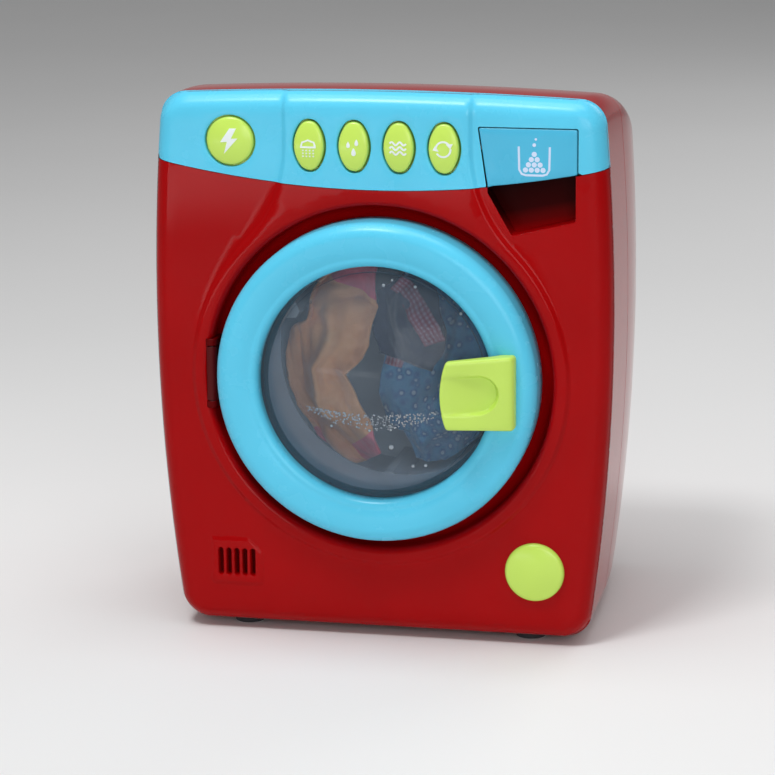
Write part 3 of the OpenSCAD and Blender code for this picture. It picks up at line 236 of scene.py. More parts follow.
PLUSH = cloth_material("orange_plush", [(0.72, 0.31, 0.14), (0.87, 0.46, 0.23), (0.92, 0.60, 0.36)], 60.0)
TRIM = cloth_material("pink_trim", [(0.72, 0.10, 0.16), (0.85, 0.2, 0.25), (0.9, 0.35, 0.35)], 90.0)
NAVY = cloth_material("navy_knit", [(0.012, 0.016, 0.04), (0.02, 0.028, 0.07), (0.035, 0.05, 0.1)], 80.0)
SPOTS = cloth_material("blue_print", [(0.42, 0.55, 0.66), (0.06, 0.17, 0.36), (0.10, 0.30, 0.50)], 260.0, True)


def plaid_material():
    """Woven checks in red, white and navy, along the cloth's own threads."""
    m, nt, b = principled("plaid_ribbon")
    at = add(nt, "Attribute")
    at.attribute_name = "cloth_uv"
    sep = add(nt, "SeparateXYZ")
    link(at.outputs["Vector"], sep.inputs["Vector"])
    mx = add(nt, "MixRGB", Fac=0.9)
    mx.blend_type = "MULTIPLY"
    for axis, into, dark, light in (("X", "Color1", (0.42, 0.11, 0.15), (0.50, 0.33, 0.38)),
                                    ("Y", "Color2", (0.56, 0.24, 0.29), (0.7, 0.6, 0.65))):
        mu, fr = add(nt, "Math"), add(nt, "Math")
        mu.operation, fr.operation = "MULTIPLY", "FRACT"
        mu.inputs[1].default_value = 1 / 0.0021
        link(sep.outputs[axis], mu.inputs[0])
        link(mu.outputs["Value"], fr.inputs[0])
        bars = ramp(nt, fr.outputs["Value"], [(0.0, dark), (0.42, dark), (0.5, light), (0.95, light)])
        link(bars, mx.inputs[into])
    link(mx.outputs["Color"], b.inputs["Base Color"])
    put(b, Roughness=0.85)
    return m


PLAID = plaid_material()


# ---- mesh helpers ----
def new_object(name, data):
    ob = bpy.data.objects.new(name, data)
    scene.collection.objects.link(ob)
    return ob


def new_mesh(name, verts, faces, looks):
    """A mesh from points in millimetres."""
    me = bpy.data.meshes.new(name)
    me.from_pydata([tuple(c * MM for c in v) for v in verts], [], faces)
    for m in looks:
        me.materials.append(m)
    return me


def piece(name, verts, faces, mat, body, slot, smooth=True, replaces=(), crease=38, mats=None):
    me = new_mesh(name, verts, faces, mats or [mat])
    me.validate()
    me.update()
    bm = bmesh.new()
    bm.from_mesh(me)
    bmesh.ops.remove_doubles(bm, verts=bm.verts, dist=0.000002)
    bmesh.ops.recalc_face_normals(bm, faces=bm.faces)
    bm.to_mesh(me)
    bm.free()
    ob = new_object(name, me)
    for p in me.polygons:
        p.use_smooth = smooth
    if smooth:
        me.set_sharp_from_angle(angle=radians(crease))
    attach(ob, body)
    if replaces:
        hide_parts(*replaces)
    return ob


def face_out(verts, faces, inside):
    """Turns the faces so that they look away from a point inside."""
    out = []
    for f in faces:
        a, b, c = (Vector(verts[i]) for i in f[:3])
        n = (b - a).cross(c - a)
        mid = sum((Vector(verts[i]) for i in f), Vector()) / len(f)
        out.append(tuple(f) if n.dot(mid - Vector(inside)) > 0 else tuple(reversed(f)))
    return out


def strips(rows, n):
    """Quads between rows of n points each, every row closed on itself."""
    return [(r * n + i, r * n + (i + 1) % n, (r + 1) * n + (i + 1) % n, (r + 1) * n + i)
            for r in range(rows - 1) for i in range(n)]


def loft(rings):
    """Quads through closed rings that all have the same number of points."""
    return [p for ring in rings for p in ring], strips(len(rings), len(rings[0]))


def lathe(profile, cx, cz, seg=160, closed=True):
    """A profile of (radius, y) turned about the line along Y through (cx, cz)."""
    verts, faces, rows = [], [], []
    for r, y in profile:
        if r < 1e-6:
            rows.append([len(verts)])
            verts.append((cx, y, cz))
        else:
            rows.append(list(range(len(verts), len(verts) + seg)))
            verts += [(cx + r * cos(2 * pi * k / seg), y,
                       cz + r * sin(2 * pi * k / seg)) for k in range(seg)]
    pairs = list(zip(rows, rows[1:])) + ([(rows[-1], rows[0])] if closed else [])
    for a, b in pairs:
        if len(a) == 1 and len(b) == 1:
            continue
        for k in range(seg):
            j = (k + 1) % seg
            if len(a) == 1:
                faces.append((a[0], b[k], b[j]))
            elif len(b) == 1:
                faces.append((a[k], a[j], b[0]))
            else:
                faces.append((a[k], a[j], b[j], b[k]))
    return verts, faces


def arc(cx, cy, r, a0, a1, n):
    return [(cx + r * cos(radians(a0 + (a1 - a0) * i / n)),
             cy + r * sin(radians(a0 + (a1 - a0) * i / n))) for i in range(n + 1)]


def steps(start, stop, by):
    """start, start + by and so on, as far as stop."""
    while start < stop if by > 0 else start > stop:
        yield start
        start += by


def smoothstep(t):
    t = max(0.0, min(1.0, t))
    return t * t * (3 - 2 * t)


# ---- form of the body ----
def top_fall(y):
    return max(0.0, y - FALL_Y) ** 2 / (2 * FALL_R)


def box_depth(x, z, r=CORNER, top=0.0):
    """How far a point lies inside the body's outline, seen from the front."""
    side = hypot(abs(x) + SIDE_R - HALF, z - BELLY_Z) - (SIDE_R - r)
    up = hypot(x, z - (TOP_Z - top - TOP_R)) - (TOP_R - r)
    down = FOOT + r - z
    v = max(up, down)
    d = hypot(side, v) if side > 0 and v > 0 else max(side, v)
    return r - d


def land_depth(x, z):
    """How far a point lies inside the raised land round the door."""
    disc = LAND_R - hypot(x, z - DOOR_Z)
    ax = abs(x)
    if z >= FLANK_Z:
        neck = NECK - ax
    else:
        vx, vz = ax - (NECK + FLANK_R), z - FLANK_Z
        ux, uz = -(NECK + FLANK_R), DOOR_Z - FLANK_Z
        neck = hypot(vx, vz) - FLANK_R if ux * vz - uz * vx <= 0 and vx < 0 else -99
    return max(disc, neck)


def plate_depth(x, z):
    """How far a point lies inside the grille's plate."""
    px, pz = x - GRILLE_X, z - GRILLE_Z
    return min(11 - abs(px), 10 - abs(pz), (15.0 - px - pz) / sqrt(2), (20.0 - px + pz) / sqrt(2),
               (20.0 + px + pz) / sqrt(2))


def front_y(x, z):
    d = box_depth(x, z)
    y = FRONT_Y
    if d < EDGE_R:
        t = EDGE_R - max(0.0, d)
        y += EDGE_R - sqrt(max(0.0, EDGE_R ** 2 - t * t))
    y -= LAND_RISE * smoothstep((land_depth(x, z) + 1.3) / 2.6)
    y -= 0.8 * smoothstep((plate_depth(x, z) + 0.1) / 0.9)
    return y


def outline(side=0.0, top=0.0, bottom=0.0, r=CORNER, n_side=28, n_top=24, n_corner=10):
    """The body's outline as points with the same count at any inset, clockwise from the lower left."""
    half, tz, fz = HALF - side, TOP_Z - top, FOOT + bottom
    cx = SIDE_R - half

    def side_x(z, rr):
        return sqrt((SIDE_R - rr) ** 2 - (z - BELLY_Z) ** 2) - cx

    zb = fz + r
    xb = side_x(zb, r)
    xt, zt = side_x(tz - r, r), tz - r
    for _ in range(8):
        zt = tz - TOP_R + sqrt((TOP_R - r) ** 2 - xt ** 2)
        xt = side_x(zt, r)
    n_b = atan2(zb - BELLY_Z, xb + cx)
    n_t = atan2(zt - BELLY_Z, xt + cx)
    top_a = atan2(xt, zt - (tz - TOP_R))
    low, side_a, high = ([a0 + (a1 - a0) * i / n for i in range(n + 1)] for a0, a1, n in (
        (-pi / 2, n_b, n_corner), (n_b, n_t, n_side), (n_t, pi / 2 - top_a, n_corner)))
    right = [(xb + r * cos(a), zb + r * sin(a)) for a in low]
    right += [(-cx + SIDE_R * cos(a), BELLY_Z + SIDE_R * sin(a)) for a in side_a[1:-1]]
    right += [(xt + r * cos(a), zt + r * sin(a)) for a in high]
    tops = [(TOP_R * sin(top_a * (1 - 2 * i / n_top)),
             tz - TOP_R + TOP_R * cos(top_a * (1 - 2 * i / n_top))) for i in range(1, n_top)]
    left = [(-x, z) for x, z in reversed(right)]
    bots = [(-xb + 2 * xb * i / 16, fz) for i in range(1, 16)]
    return right + tops + left + bots


def inside(poly, x, z):
    crossings = 0
    for (xi, zi), (xj, zj) in zip(poly, poly[-1:] + poly[:-1]):
        crossings += (zi > z) != (zj > z) and x < (xj - xi) * (z - zi) / (zj - zi) + xi
    return crossings % 2 == 1


def resample(poly, step, closed=True):
    """The polyline with its own corners and no leg longer than step."""
    out = []
    for a, b in zip(poly, poly[1:] + poly[:1] if closed else poly[1:]):
        k = max(1, int(ceil(distance(a, b) / step)))
        out += [(a[0] + (b[0] - a[0]) * j / k, a[1] + (b[1] - a[1]) * j / k) for j in range(k)]
    return out if closed else out + poly[-1:]


def corners(poly):
    """Every point of a closed polygon, with the one before it and the one after it."""
    return zip(poly[-1:] + poly[:-1], poly, poly[1:] + poly[:1])


def grown(poly, d):
    """The closed polygon with every point moved outward by d."""
    s = 1 if sum(b[0] * c[1] - c[0] * b[1] for _, b, c in corners(poly)) > 0 else -1
    out = []
    for a, b, c in corners(poly):
        n1 = Vector((b[1] - a[1], a[0] - b[0])).normalized()
        n2 = Vector((c[1] - b[1], b[0] - c[0])).normalized()
        m = n1 + n2
        m = m.normalized() if m.length > 1e-6 else n1
        k = d / max(0.5, m.dot(n1) if n1.length > 0 else 1)
        out.append((b[0] + s * m.x * k, b[1] + s * m.y * k))
    return out


def near(points, cell=4.0):
    grid = {}
    for p in points:
        grid.setdefault((int(p[0] // cell), int(p[1] // cell)), []).append(p)

    def dist(x, z):
        gx, gz = int(x // cell), int(z // cell)
        return sqrt(min(((p[0] - x) ** 2 + (p[1] - z) ** 2 for i in (-1, 0, 1) for j in (-1, 0, 1)
                         for p in grid.get((gx + i, gz + j), ())), default=9e9))
    return dist


EASE = [(0.0, 0.55), (0.1, 0.27), (0.3, 0.08), (0.55, 0.0)]


def skin(outer, holes, extra, step, height, eased=(), ease=EASE):
    """A sheet over the region in outer and outside holes. The loops numbered in eased, where 0 is outer,
    are turned in a little at their rims, as ease says: distance from the rim and depth."""
    loops = [outer] + list(holes)
    pts, drop, edges = [], [], []
    for k, lp in enumerate(loops):
        start = len(pts)
        pts += lp
        drop += [ease[0][1] if k in eased else 0.0] * len(lp)
        edges += [(start + i, start + (i + 1) % len(lp)) for i in range(len(lp))]
    hold = list(pts)
    for k, lp in enumerate(loops):
        if k in eased:
            for d, dy in ease[1:]:
                ring = grown(lp, d if k else -d)
                pts += ring
                drop += [dy] * len(ring)
                hold += ring
    dist = near(hold)
    for p in extra:
        if inside(outer, *p) and not any(inside(h, *p) for h in holes) and dist(*p) > 0.35:
            pts.append(p)
    dist = near(pts)
    xs = [p[0] for p in outer]
    zs = [p[1] for p in outer]
    for row, z in enumerate(steps(min(zs), max(zs), step * 0.866)):
        for x in steps(min(xs) + (step / 2 if row % 2 else 0), max(xs), step):
            if dist(x, z) > 0.7 * step and inside(outer, x, z) and not any(inside(h, x, z) for h in holes):
                pts.append((x, z))
    vs, _, fs, orig, _, _ = delaunay_2d_cdt([Vector(p) for p in pts], edges, [], 0, 1e-5)
    drop += [0.0] * (len(pts) - len(drop))
    dy = [max((drop[o] for o in ids), default=0.0) for ids in orig]
    keep = []
    for f in fs:
        cx, cz = sum(vs[i].x for i in f) / len(f), sum(vs[i].y for i in f) / len(f)
        if inside(outer, cx, cz) and not any(inside(h, cx, cz) for h in holes):
            keep.append(tuple(f))
    return [(v.x, height(v.x, v.y) + d, v.y) for v, d in zip(vs, dy)], keep


def wall_of(loop, height, y1, drop=EASE[0][1], rows=1):
    """A wall from a loop's rim back to y1."""
    rim = [(x, height(x, z) + drop, z) for x, z in loop]
    return loft([[(x, y0 + (y1 - y0) * s / rows, z) for x, y0, z in rim] for s in range(rows + 1)])


def flat(y):
    """The height of a flat face at y."""
    return lambda x, z: y


def fan(loop, y, mid):
    """A flat floor at y that fills a loop from a point in its middle."""
    n = len(loop)
    return [(x, y, z) for x, z in [*loop, mid]], [(i, (i + 1) % n, n) for i in range(n)]


def joined(parts):
    verts, faces = [], []
    for v, f in parts:
        o = len(verts)
        verts += v
        faces += [tuple(i + o for i in q) for q in f]
    return verts, faces


def built(name, parts, mid, mat, body, slot, **more):
    """A piece from parts, its faces turned away from the point mid."""
    verts, faces = joined(parts)
    return piece(name, verts, face_out(verts, faces, mid), mat, body, slot, **more)


def arc_z(x):
    return PANEL_LOW + PANEL_ARC - sqrt(PANEL_ARC ** 2 - x * x)


RIM = resample(outline(n_side=60, n_top=60, n_corner=24), 2.0)
EDGE_RINGS = []
for a in (8, 18, 28, 38, 48, 58, 68, 79):
    d = EDGE_R * (1 - cos(radians(a)))
    EDGE_RINGS += resample(outline(d, d, d, CORNER - d, 60, 60, 24), 2.2)
LAND_LINES = []
for o in (-1.3, -0.8, -0.4, 0.0, 0.4, 0.8, 1.3):
    t = atan2(FLANK_Z - DOOR_Z, NECK + FLANK_R)
    for side in (-1, 1):
        LAND_LINES += [(side * (LAND_R - o) * cos(a), DOOR_Z + (LAND_R - o) * sin(a))
                       for a in steps(-pi / 2, t, 1.4 / LAND_R)]
        LAND_LINES += [(side * (NECK + FLANK_R + (FLANK_R + o) * cos(b)), FLANK_Z + (FLANK_R + o) * sin(b))
                       for b in steps(pi + t, pi, -1.3 / FLANK_R)]
        LAND_LINES += [(side * (NECK - o), z) for z in steps(FLANK_Z, TOP_Z, 1.3)]


# the outline cut at the panel's lower edge: both parts run anticlockwise, the upper one from the right end
# and the lower one from the left end
k = max(range(len(RIM)), key=lambda i: RIM[i][1] > arc_z(RIM[i][0]) and RIM[i - 1][1] <= arc_z(RIM[i - 1][0]))
UP, LO = [[p for p in RIM[k:] + RIM[:k] if (p[1] > arc_z(p[0])) == upper] for upper in (True, False)]
HALF_ARC = 90.0
for _ in range(60):
    HALF_ARC += 0.5 * box_depth(HALF_ARC, arc_z(HALF_ARC))
ARC = [(-HALF_ARC + 2 * HALF_ARC * i / 110, arc_z(-HALF_ARC + 2 * HALF_ARC * i / 110)) for i in range(111)]


def shifted(line, dz):
    return [(x, z + dz) for x, z in line]


def circle(cx, cz, r, n=96):
    return [(cx + r * cos(2 * pi * k / n), cz + r * sin(2 * pi * k / n)) for k in range(n)]


def mode_oval(g=0.0):
    """Four-arc oval of a mode button, grown by g."""
    w, h, n = 12.8, 20.5, 12
    end = 0.36 * w
    a, c = w / 2, h / 2 - end
    sr = (a * a + c * c - end * end) / (2 * (a - end))
    jz = sr * c / (sr - end)
    jx = sr * (sr - a) / (sr - end) - (sr - a)
    t_side = atan2(jz, jx + sr - a)
    q = [((sr + g) * cos(t) - (sr - a), (sr + g) * sin(t)) for t in [t_side * i / n for i in range(n)]]
    q += [((end + g) * cos(t), c + (end + g) * sin(t))
          for t in [t_side + (pi / 2 - t_side) * i / n for i in range(n + 1)]]
    up = q + [(-x, z) for x, z in reversed(q[:-1])]
    return up + [(x, -z) for x, z in reversed(up[1:-1])]


# ---- front shell ----
def rounded(poly, r, n=6):
    """A polygon's corners eased by r."""
    out = []
    for a, b, c in corners([Vector(p) for p in poly]):
        u, v = (a - b).normalized(), (c - b).normalized()
        ang = u.angle(v)
        t = min(r / tan(ang / 2), 0.45 * (a - b).length, 0.45 * (c - b).length)
        rr = t * tan(ang / 2)
        mid = b + (u + v).normalized() * (rr / sin(ang / 2))
        p0, p1 = b + u * t, b + v * t
        a0 = atan2(p0.y - mid.y, p0.x - mid.x)
        a1 = atan2(p1.y - mid.y, p1.x - mid.x)
        da = (a1 - a0 + pi) % (2 * pi) - pi
        out += [(mid.x + rr * cos(a0 + da * j / n), mid.y + rr * sin(a0 + da * j / n)) for j in range(n + 1)]
    return out


groove = circle(0, DOOR_Z, GROOVE_R, 220)
POCKET_CORNERS = [(POCKET_LEFT + 0.1, 187.9), (54.4, 170.8), (POCKET_RIGHT, 177.0)]
arc_red = shifted(ARC, -GAP)
# the pocket cuts the shell's upper edge, so the edge runs down round it
i0 = max(i for i, p in enumerate(arc_red) if p[0] < POCKET_LEFT)
i1 = min(i for i, p in enumerate(arc_red) if p[0] > POCKET_RIGHT)
left_z, right_z = arc_z(POCKET_LEFT), arc_z(POCKET_RIGHT)
corner_low = rounded([(POCKET_LEFT, left_z - GAP + 3), *POCKET_CORNERS, (POCKET_RIGHT, right_z - GAP + 3)], POCKET_R)
pocket_path = [p for p in resample(corner_low, 0.8) if p[1] < arc_z(p[0]) - GAP - 0.2]
edge_path = arc_red[:i0 + 1] + [(POCKET_LEFT + 0.02, left_z - GAP)] + pocket_path
edge_path += [(POCKET_RIGHT, right_z - GAP)] + arc_red[i1:]
red_outer = resample(LO + edge_path[::-1], 1.2)
slots = []
for i in range(5):
    sx = GRILLE_X + (i - 2) * SLOT_PITCH
    slots.append(resample([(sx + SLOT_R * cos(t), z0 + SLOT_R * sin(t))
                           for z0, a0 in ((SLOT_LOW + SLOT_R, pi), (SLOT_HIGH - SLOT_R, 0.0))
                           for t in [a0 + pi * j / 8 for j in range(9)]], 1.6))
# closer points round the grille's plate
fine = [(GRILLE_X + dx * 0.9, GRILLE_Z + dz * 0.9) for dx in range(-14, 15) for dz in range(-13, 14)]
parts = [skin(red_outer, [groove] + slots, EDGE_RINGS + LAND_LINES + fine, 3.4, front_y, eased={2, 3, 4, 5, 6})]
# groove: rolled edge, wall, concave floor, mouth
prof = [(GROOVE_R, LAND_Y), (73.0, LAND_Y + 0.12), (72.3, LAND_Y + 0.5), (71.7, LAND_Y + 1.2),
        (71.25, LAND_Y + 2.2), (GROOVE_WALL_R, LAND_Y + 3.6), (GROOVE_WALL_R, LAND_Y + 7.4),
        (70.6, GROOVE_Y - 2.0), (69.6, GROOVE_Y - 0.8), (68.0, GROOVE_Y - 0.15), (66.0, GROOVE_Y),
        (53.6, GROOVE_Y), (52.6, GROOVE_Y + 0.3), (MOUTH_R, GROOVE_Y + 1.0), (MOUTH_R, GROOVE_Y + 2.4)]
parts.append(lathe(prof, 0, DOOR_Z, 220, closed=False))
parts += [wall_of(s, front_y, FRONT_Y + 3.4) for s in slots]
# pocket: its walls and floor
pk = rounded([(POCKET_LEFT + 0.02, left_z + 6), *POCKET_CORNERS, (POCKET_RIGHT, right_z + 4)], POCKET_R)
pk = resample(pk, 1.2)
parts += [wall_of(pk, front_y, POCKET_Y, 0.0, 4), fan(pk, POCKET_Y, (62.0, 184.0))]
# sides back to the parting plane
ring_y = [-39.85, -38, -34, -28, -21, -14, -7, -0.12]
parts.append(loft([[(x, y, z) for x, z in outline(0, top_fall(y), 0)] for y in ring_y]))


def rim_strip(keep, inset, back_y, fall):
    """The narrow band that runs from the front's edge back to back_y, where keep(x, z) holds."""
    fine_n = dict(n_side=140, n_top=96, n_corner=24)
    a, b = outline(inset, inset, inset, **fine_n), outline(inset, inset + fall, inset, **fine_n)
    k = len(a)
    vv = [(x, front_y(x, z), z) for x, z in a] + [(x, back_y, z) for x, z in b]
    ff = [(i, (i + 1) % k, k + (i + 1) % k, k + i) for i in range(k) if keep(*a[i]) and keep(*a[(i + 1) % k])]
    return vv, ff


parts.append(rim_strip(lambda x, z: z <= arc_z(x) - 0.3, 0.0, ring_y[0], top_fall(ring_y[0])))
parts.append(rim_strip(lambda x, z: True, 0.14, ring_y[0] + 0.3, 0.0))
front_case = built("front_case", parts, (0, 5, 112), RED, "body", "red_shell", replaces=("front_shell",),
                   mats=[RED, POCKET_PAINTED_SHADE, SEAL])
# the pocket gets its painted shade, the mouth's seal a look of its own, and the land stays flat beside the pocket
for pl in front_case.data.polygons:
    c = pl.center / MM
    if 43 < c.x < 81 and 169 < c.z < 199 and LAND_Y + 1.8 < c.y < POCKET_Y + 0.4:
        pl.material_index = 1
    elif hypot(c.x, c.z - DOOR_Z) < SEAL_R and c.y > GROOVE_Y - 0.6:
        pl.material_index = 2
    elif 41 < c.x < 84 and 168 < c.z < 196 and abs(pl.normal.y) > 0.97:
        pl.use_smooth = False


# ---- rear shell: the solid's outer form with more sections, its screw wells and the battery door's seat ----
BACK_Y, BACK_EDGE, WELL_R, SEAT_Y = 74.0, 14.0, 2.85, 12.0


def side_fall(y):
    return max(0.0, y) ** 2 / (2 * SIDE_FALL_R)


levels = [(-0.1, 1.6), (0.08, 0.35), (0.4, 0.0)] + [(y, 0.0) for y in range(5, 60, 6)]
levels += [(BACK_Y - BACK_EDGE + BACK_EDGE * sin(pi * k / 28), BACK_EDGE * (1 - cos(pi * k / 28)))
           for k in range(15)]
rear = [outline(side_fall(y) + e, top_fall(y) + e, e) for y, e in levels]
door_lo, door_hi = [Vector(c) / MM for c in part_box("battery_door")]
door_half, tab_z = door_hi.x + 0.2, door_hi.z - 5.8
seat = [(-door_half, door_lo.z - 0.2), (door_half, door_lo.z - 0.2), (door_half, tab_z - 2)]
seat = resample(seat + arc(0, tab_z, 6.0, -19.5, 199.5, 24) + [(-door_half, tab_z - 2)], 2.0)
wells = [circle(x, z, WELL_R, 32) for x, z in ((-72, 14), (72, 14), (-76, 167.8), (76, 167.8), (0, 189.5))]


parts = [loft([[(x, y, z) for x, z in ring] for (y, _), ring in zip(levels, rear)])]
parts.append(skin(rear[-1], wells + [seat], [], 7.0, flat(BACK_Y)))
parts += [wall_of(w, flat(BACK_Y), SEAT_Y, 0.0) for w in wells] + [wall_of(seat, flat(BACK_Y), BACK_Y - 2.2, 0.0)]
built("rear_case", parts, (0, 30, 110), RED, "body", "red_shell", replaces=("rear_shell",))


# ---- control panel ----
arc_up = shifted(ARC, GAP)
# the drawer front closes the panel's lower right, so the panel's edge runs up round it
j0 = max(i for i, p in enumerate(arc_up) if p[0] < 43.9)
j1 = min(i for i, p in enumerate(arc_up) if p[0] > 81.1)
round_drawer = rounded([(44.0, arc_z(44) + GAP - 2), (44.05, arc_z(44) + GAP + 0.6), (40.7, DRAWER_TOP + 0.4),
                        (81.0, DRAWER_TOP + 0.4), (81.0, arc_z(81) - 2)], 0.8)
round_drawer = [p for p in resample(round_drawer, 1.2, closed=False) if p[1] > arc_z(p[0]) + GAP + 0.05]
blue_edge = arc_up[:j0 + 1] + round_drawer + arc_up[j1:]
blue_outer = resample(UP + blue_edge, 2.2)
holes = [circle(-POWER_X, POWER_Z, POWER_R + HOLE_GAP)]
holes += [[(px + x, pz + BUTTON_Z) for px, pz in mode_oval(OVAL_GAP)] for x in MODE_X]
parts = [skin(blue_outer, holes, EDGE_RINGS + LAND_LINES, 2.6, front_y, eased={1, 2, 3, 4, 5})]
parts += [wall_of(h, front_y, FRONT_Y + 2.4) for h in holes]
parts.append(rim_strip(lambda x, z: z >= arc_z(x) + 0.2, 0.0, -39.9, 0.0))
built("panel", parts, (0, 5, 150), BLUE, "body", "blue_trim", replaces=("control_panel",))


# ---- drawer front ----
def panel_edge(x):
    return x, arc_z(x) + 0.25


front = rounded([(41.1, DRAWER_TOP), (DRAWER_LEFT, 189.8), panel_edge(DRAWER_LEFT), panel_edge(DRAWER_RIGHT),
                 (DRAWER_RIGHT, DRAWER_TOP)], 0.7)
front += [p for p in front if p[0] > DRAWER_MID[0] and 195 < p[1] <= 196]  # the low right corner stands twice
front += [panel_edge(DRAWER_LEFT + (DRAWER_RIGHT - DRAWER_LEFT) * i / 16) for i in range(1, 16)]
front.sort(key=lambda p: atan2(p[1] - DRAWER_MID[1], p[0] - DRAWER_MID[0]))
front = resample(front, 1.4)
back_y = FRONT_Y + 2.1
parts = [skin(front, [], [], 3.0, flat(FRONT_Y), eased={0}), wall_of(front, flat(FRONT_Y), back_y),
         fan(front, back_y, DRAWER_MID)]
built("drawer_front", parts, (DRAWER_MID[0], FRONT_Y + 1, DRAWER_MID[1]), BLUE_D, "drawer", "blue_drawer",
      replaces=("detergent_drawer",))


def open_box(x0, x1, y0, y1, z0, z1, t):
    """A tray with rounded floor edges: outside, rim and inside."""
    levels = [(1.2, z0, 0.8), (0.35, z0 + 0.35, 1.1), (0, z0 + 1.2, 1.2), (0, z1 - 0.3, 1.2), (0.3, z1, 1.1),
              (t - 0.3, z1, 1.0), (t, z1 - 0.3, 1.0), (t, z0 + t + 2, 1.0), (t + 0.6, z0 + t + 0.6, 0.9),
              (t + 2, z0 + t, 0.7)]

    def ring(g, r):
        return resample(rounded([(x0 + g, y0 + g), (x1 - g, y0 + g), (x1 - g, y1 - g), (x0 + g, y1 - g)], r), 3.0)
    k = len(ring(0, 1.2))
    vv = []
    for g, z, r in levels:
        # the same number of points on every level, evenly spaced
        pts = ring(g, r)
        m = len(pts)
        legs = [distance(pts[i], pts[(i + 1) % m]) for i in range(m)]
        step, acc, i = sum(legs) / k, 0.0, 0
        for q in range(k):
            target = q * step
            while acc + legs[i % m] < target - 1e-9:
                acc += legs[i % m]
                i += 1
            a, b = pts[i % m], pts[(i + 1) % m]
            w = (target - acc) / legs[i % m] if legs[i % m] > 1e-9 else 0
            vv.append((a[0] + (b[0] - a[0]) * w, a[1] + (b[1] - a[1]) * w, z))
    ends = [tuple(range(k - 1, -1, -1)), tuple(range(len(vv) - k, len(vv)))]
    return vv, strips(len(levels), k) + ends


piece("drawer_tray", *open_box(47.1, 78.0, FRONT_Y + 2.2, FRONT_Y + 2.2 + 34, 198.8, 211.3, 1.5), BLUE_D, "drawer",
      "blue_drawer", replaces=("detergent_drawer",))


# ---- buttons ----
def pillow(loop_of, r_edge, face_y, cx, cz):
    """A domed cap with a rolled edge. loop_of(g) gives its outline grown by g about the middle."""
    def top(x, z):
        return face_y - BUTTON_RISE + BUTTON_CROWN_R - sqrt(max(0, BUTTON_CROWN_R ** 2 - x * x - z * z))
    edge_rows, core_rows = 7, 10
    base = loop_of(0.0)
    rows = [[(x, CAP_BACK_Y, z) for x, z in base], [(x, top(x, z) + r_edge, z) for x, z in base]]
    for i in range(1, edge_rows + 1):
        a = pi / 2 * i / edge_rows
        rows.append([(x, top(x, z) + r_edge * (1 - sin(a)), z) for x, z in loop_of(-r_edge * (1 - cos(a)))])
    last = loop_of(-r_edge)
    for k in range(1, core_rows):
        s = 1 - k / core_rows
        rows.append([(x * s, top(x * s, z * s), z * s) for x, z in last])
    n = len(base)
    verts = [(cx + x, y, cz + z) for row in rows for x, y, z in row] + [(cx, top(0, 0), cz)]
    o = (len(rows) - 1) * n
    faces = strips(len(rows), n) + [(o + i, o + (i + 1) % n, o + n) for i in range(n)] + [tuple(range(n))]
    return verts, faces, top


def flange(loop, cx, cz):
    """The plate behind a cap that keeps it in its hole."""
    k = len(loop)
    verts, faces = loft([[(cx + x, y, cz + z) for x, z in loop] for y in (-46.05, -44.85)])
    return verts, faces + [tuple(range(k)), tuple(range(2 * k - 1, k - 1, -1))]


def stem(cx, cz):
    return lathe([(0, -44.6), (3, -44.6), (3, -41.1), (0, -41.1)], cx, cz, 24, closed=False)


def button(name, loop_of, plate, r_edge, face_y, cx, cz, body, solid):
    *dome, top = pillow(loop_of, r_edge, face_y, cx, cz)
    built(name, [dome, flange(plate, cx, cz), stem(cx, cz)], (cx, -47, cz), GREEN, body, "green_trim",
          replaces=(solid,))
    return top


mode_tops = [button("mode_cap_%d" % (i + 1), lambda g: mode_oval(g - 0.3), mode_oval(1.3), 0.9, LAND_Y, x, BUTTON_Z,
                    "mode_%d" % (i + 1), "mode_button_%d" % (i + 1)) for i, x in enumerate(MODE_X)]
power_top = button("power_cap", lambda g: circle(0, 0, POWER_R + g), circle(0, 0, POWER_R + FLANGE_GROW), 1.0,
                   FRONT_Y, -POWER_X, POWER_Z, "power", "power_button")


# ---- raised pictograms, a hair proud of what carries them ----
def decal(name, shapes, surf, cx, cz, mat, body, slot, lift=0.12, thick=0.25):
    """Flat shapes laid on a curved face; surf gives the face's Y at a place from the middle."""
    parts = []
    for sh in shapes:
        sh = resample(sh, 0.6)
        k = len(sh)
        vs, _, fs = delaunay_2d_cdt([Vector(p) for p in sh], [(i, (i + 1) % k) for i in range(k)], [], 0, 1e-6)[:3]
        fs = [tuple(f) for f in fs if inside(sh, sum(vs[i].x for i in f) / 3, sum(vs[i].y for i in f) / 3)]
        parts.append(([(cx + p.x, surf(p.x, p.y) - lift, cz + p.y) for p in vs], fs))
        parts.append(([(cx + x, surf(x, z) - lift + t, cz + z) for t in (0, thick) for x, z in sh], strips(2, k)))
    built(name, parts, (cx, FRONT_Y + 30, cz), mat, body, slot, smooth=False)


def band(path, w):
    """An open polyline of width w as one closed shape."""
    left, right = [], []
    for i, p in enumerate(path):
        t = (Vector(path[min(i + 1, len(path) - 1)]) - Vector(path[max(i - 1, 0)])).normalized()
        side = Vector((-t.y, t.x)) * w / 2
        left.append(tuple(Vector(p) + side))
        right.append(tuple(Vector(p) - side))
    return left + list(reversed(right))


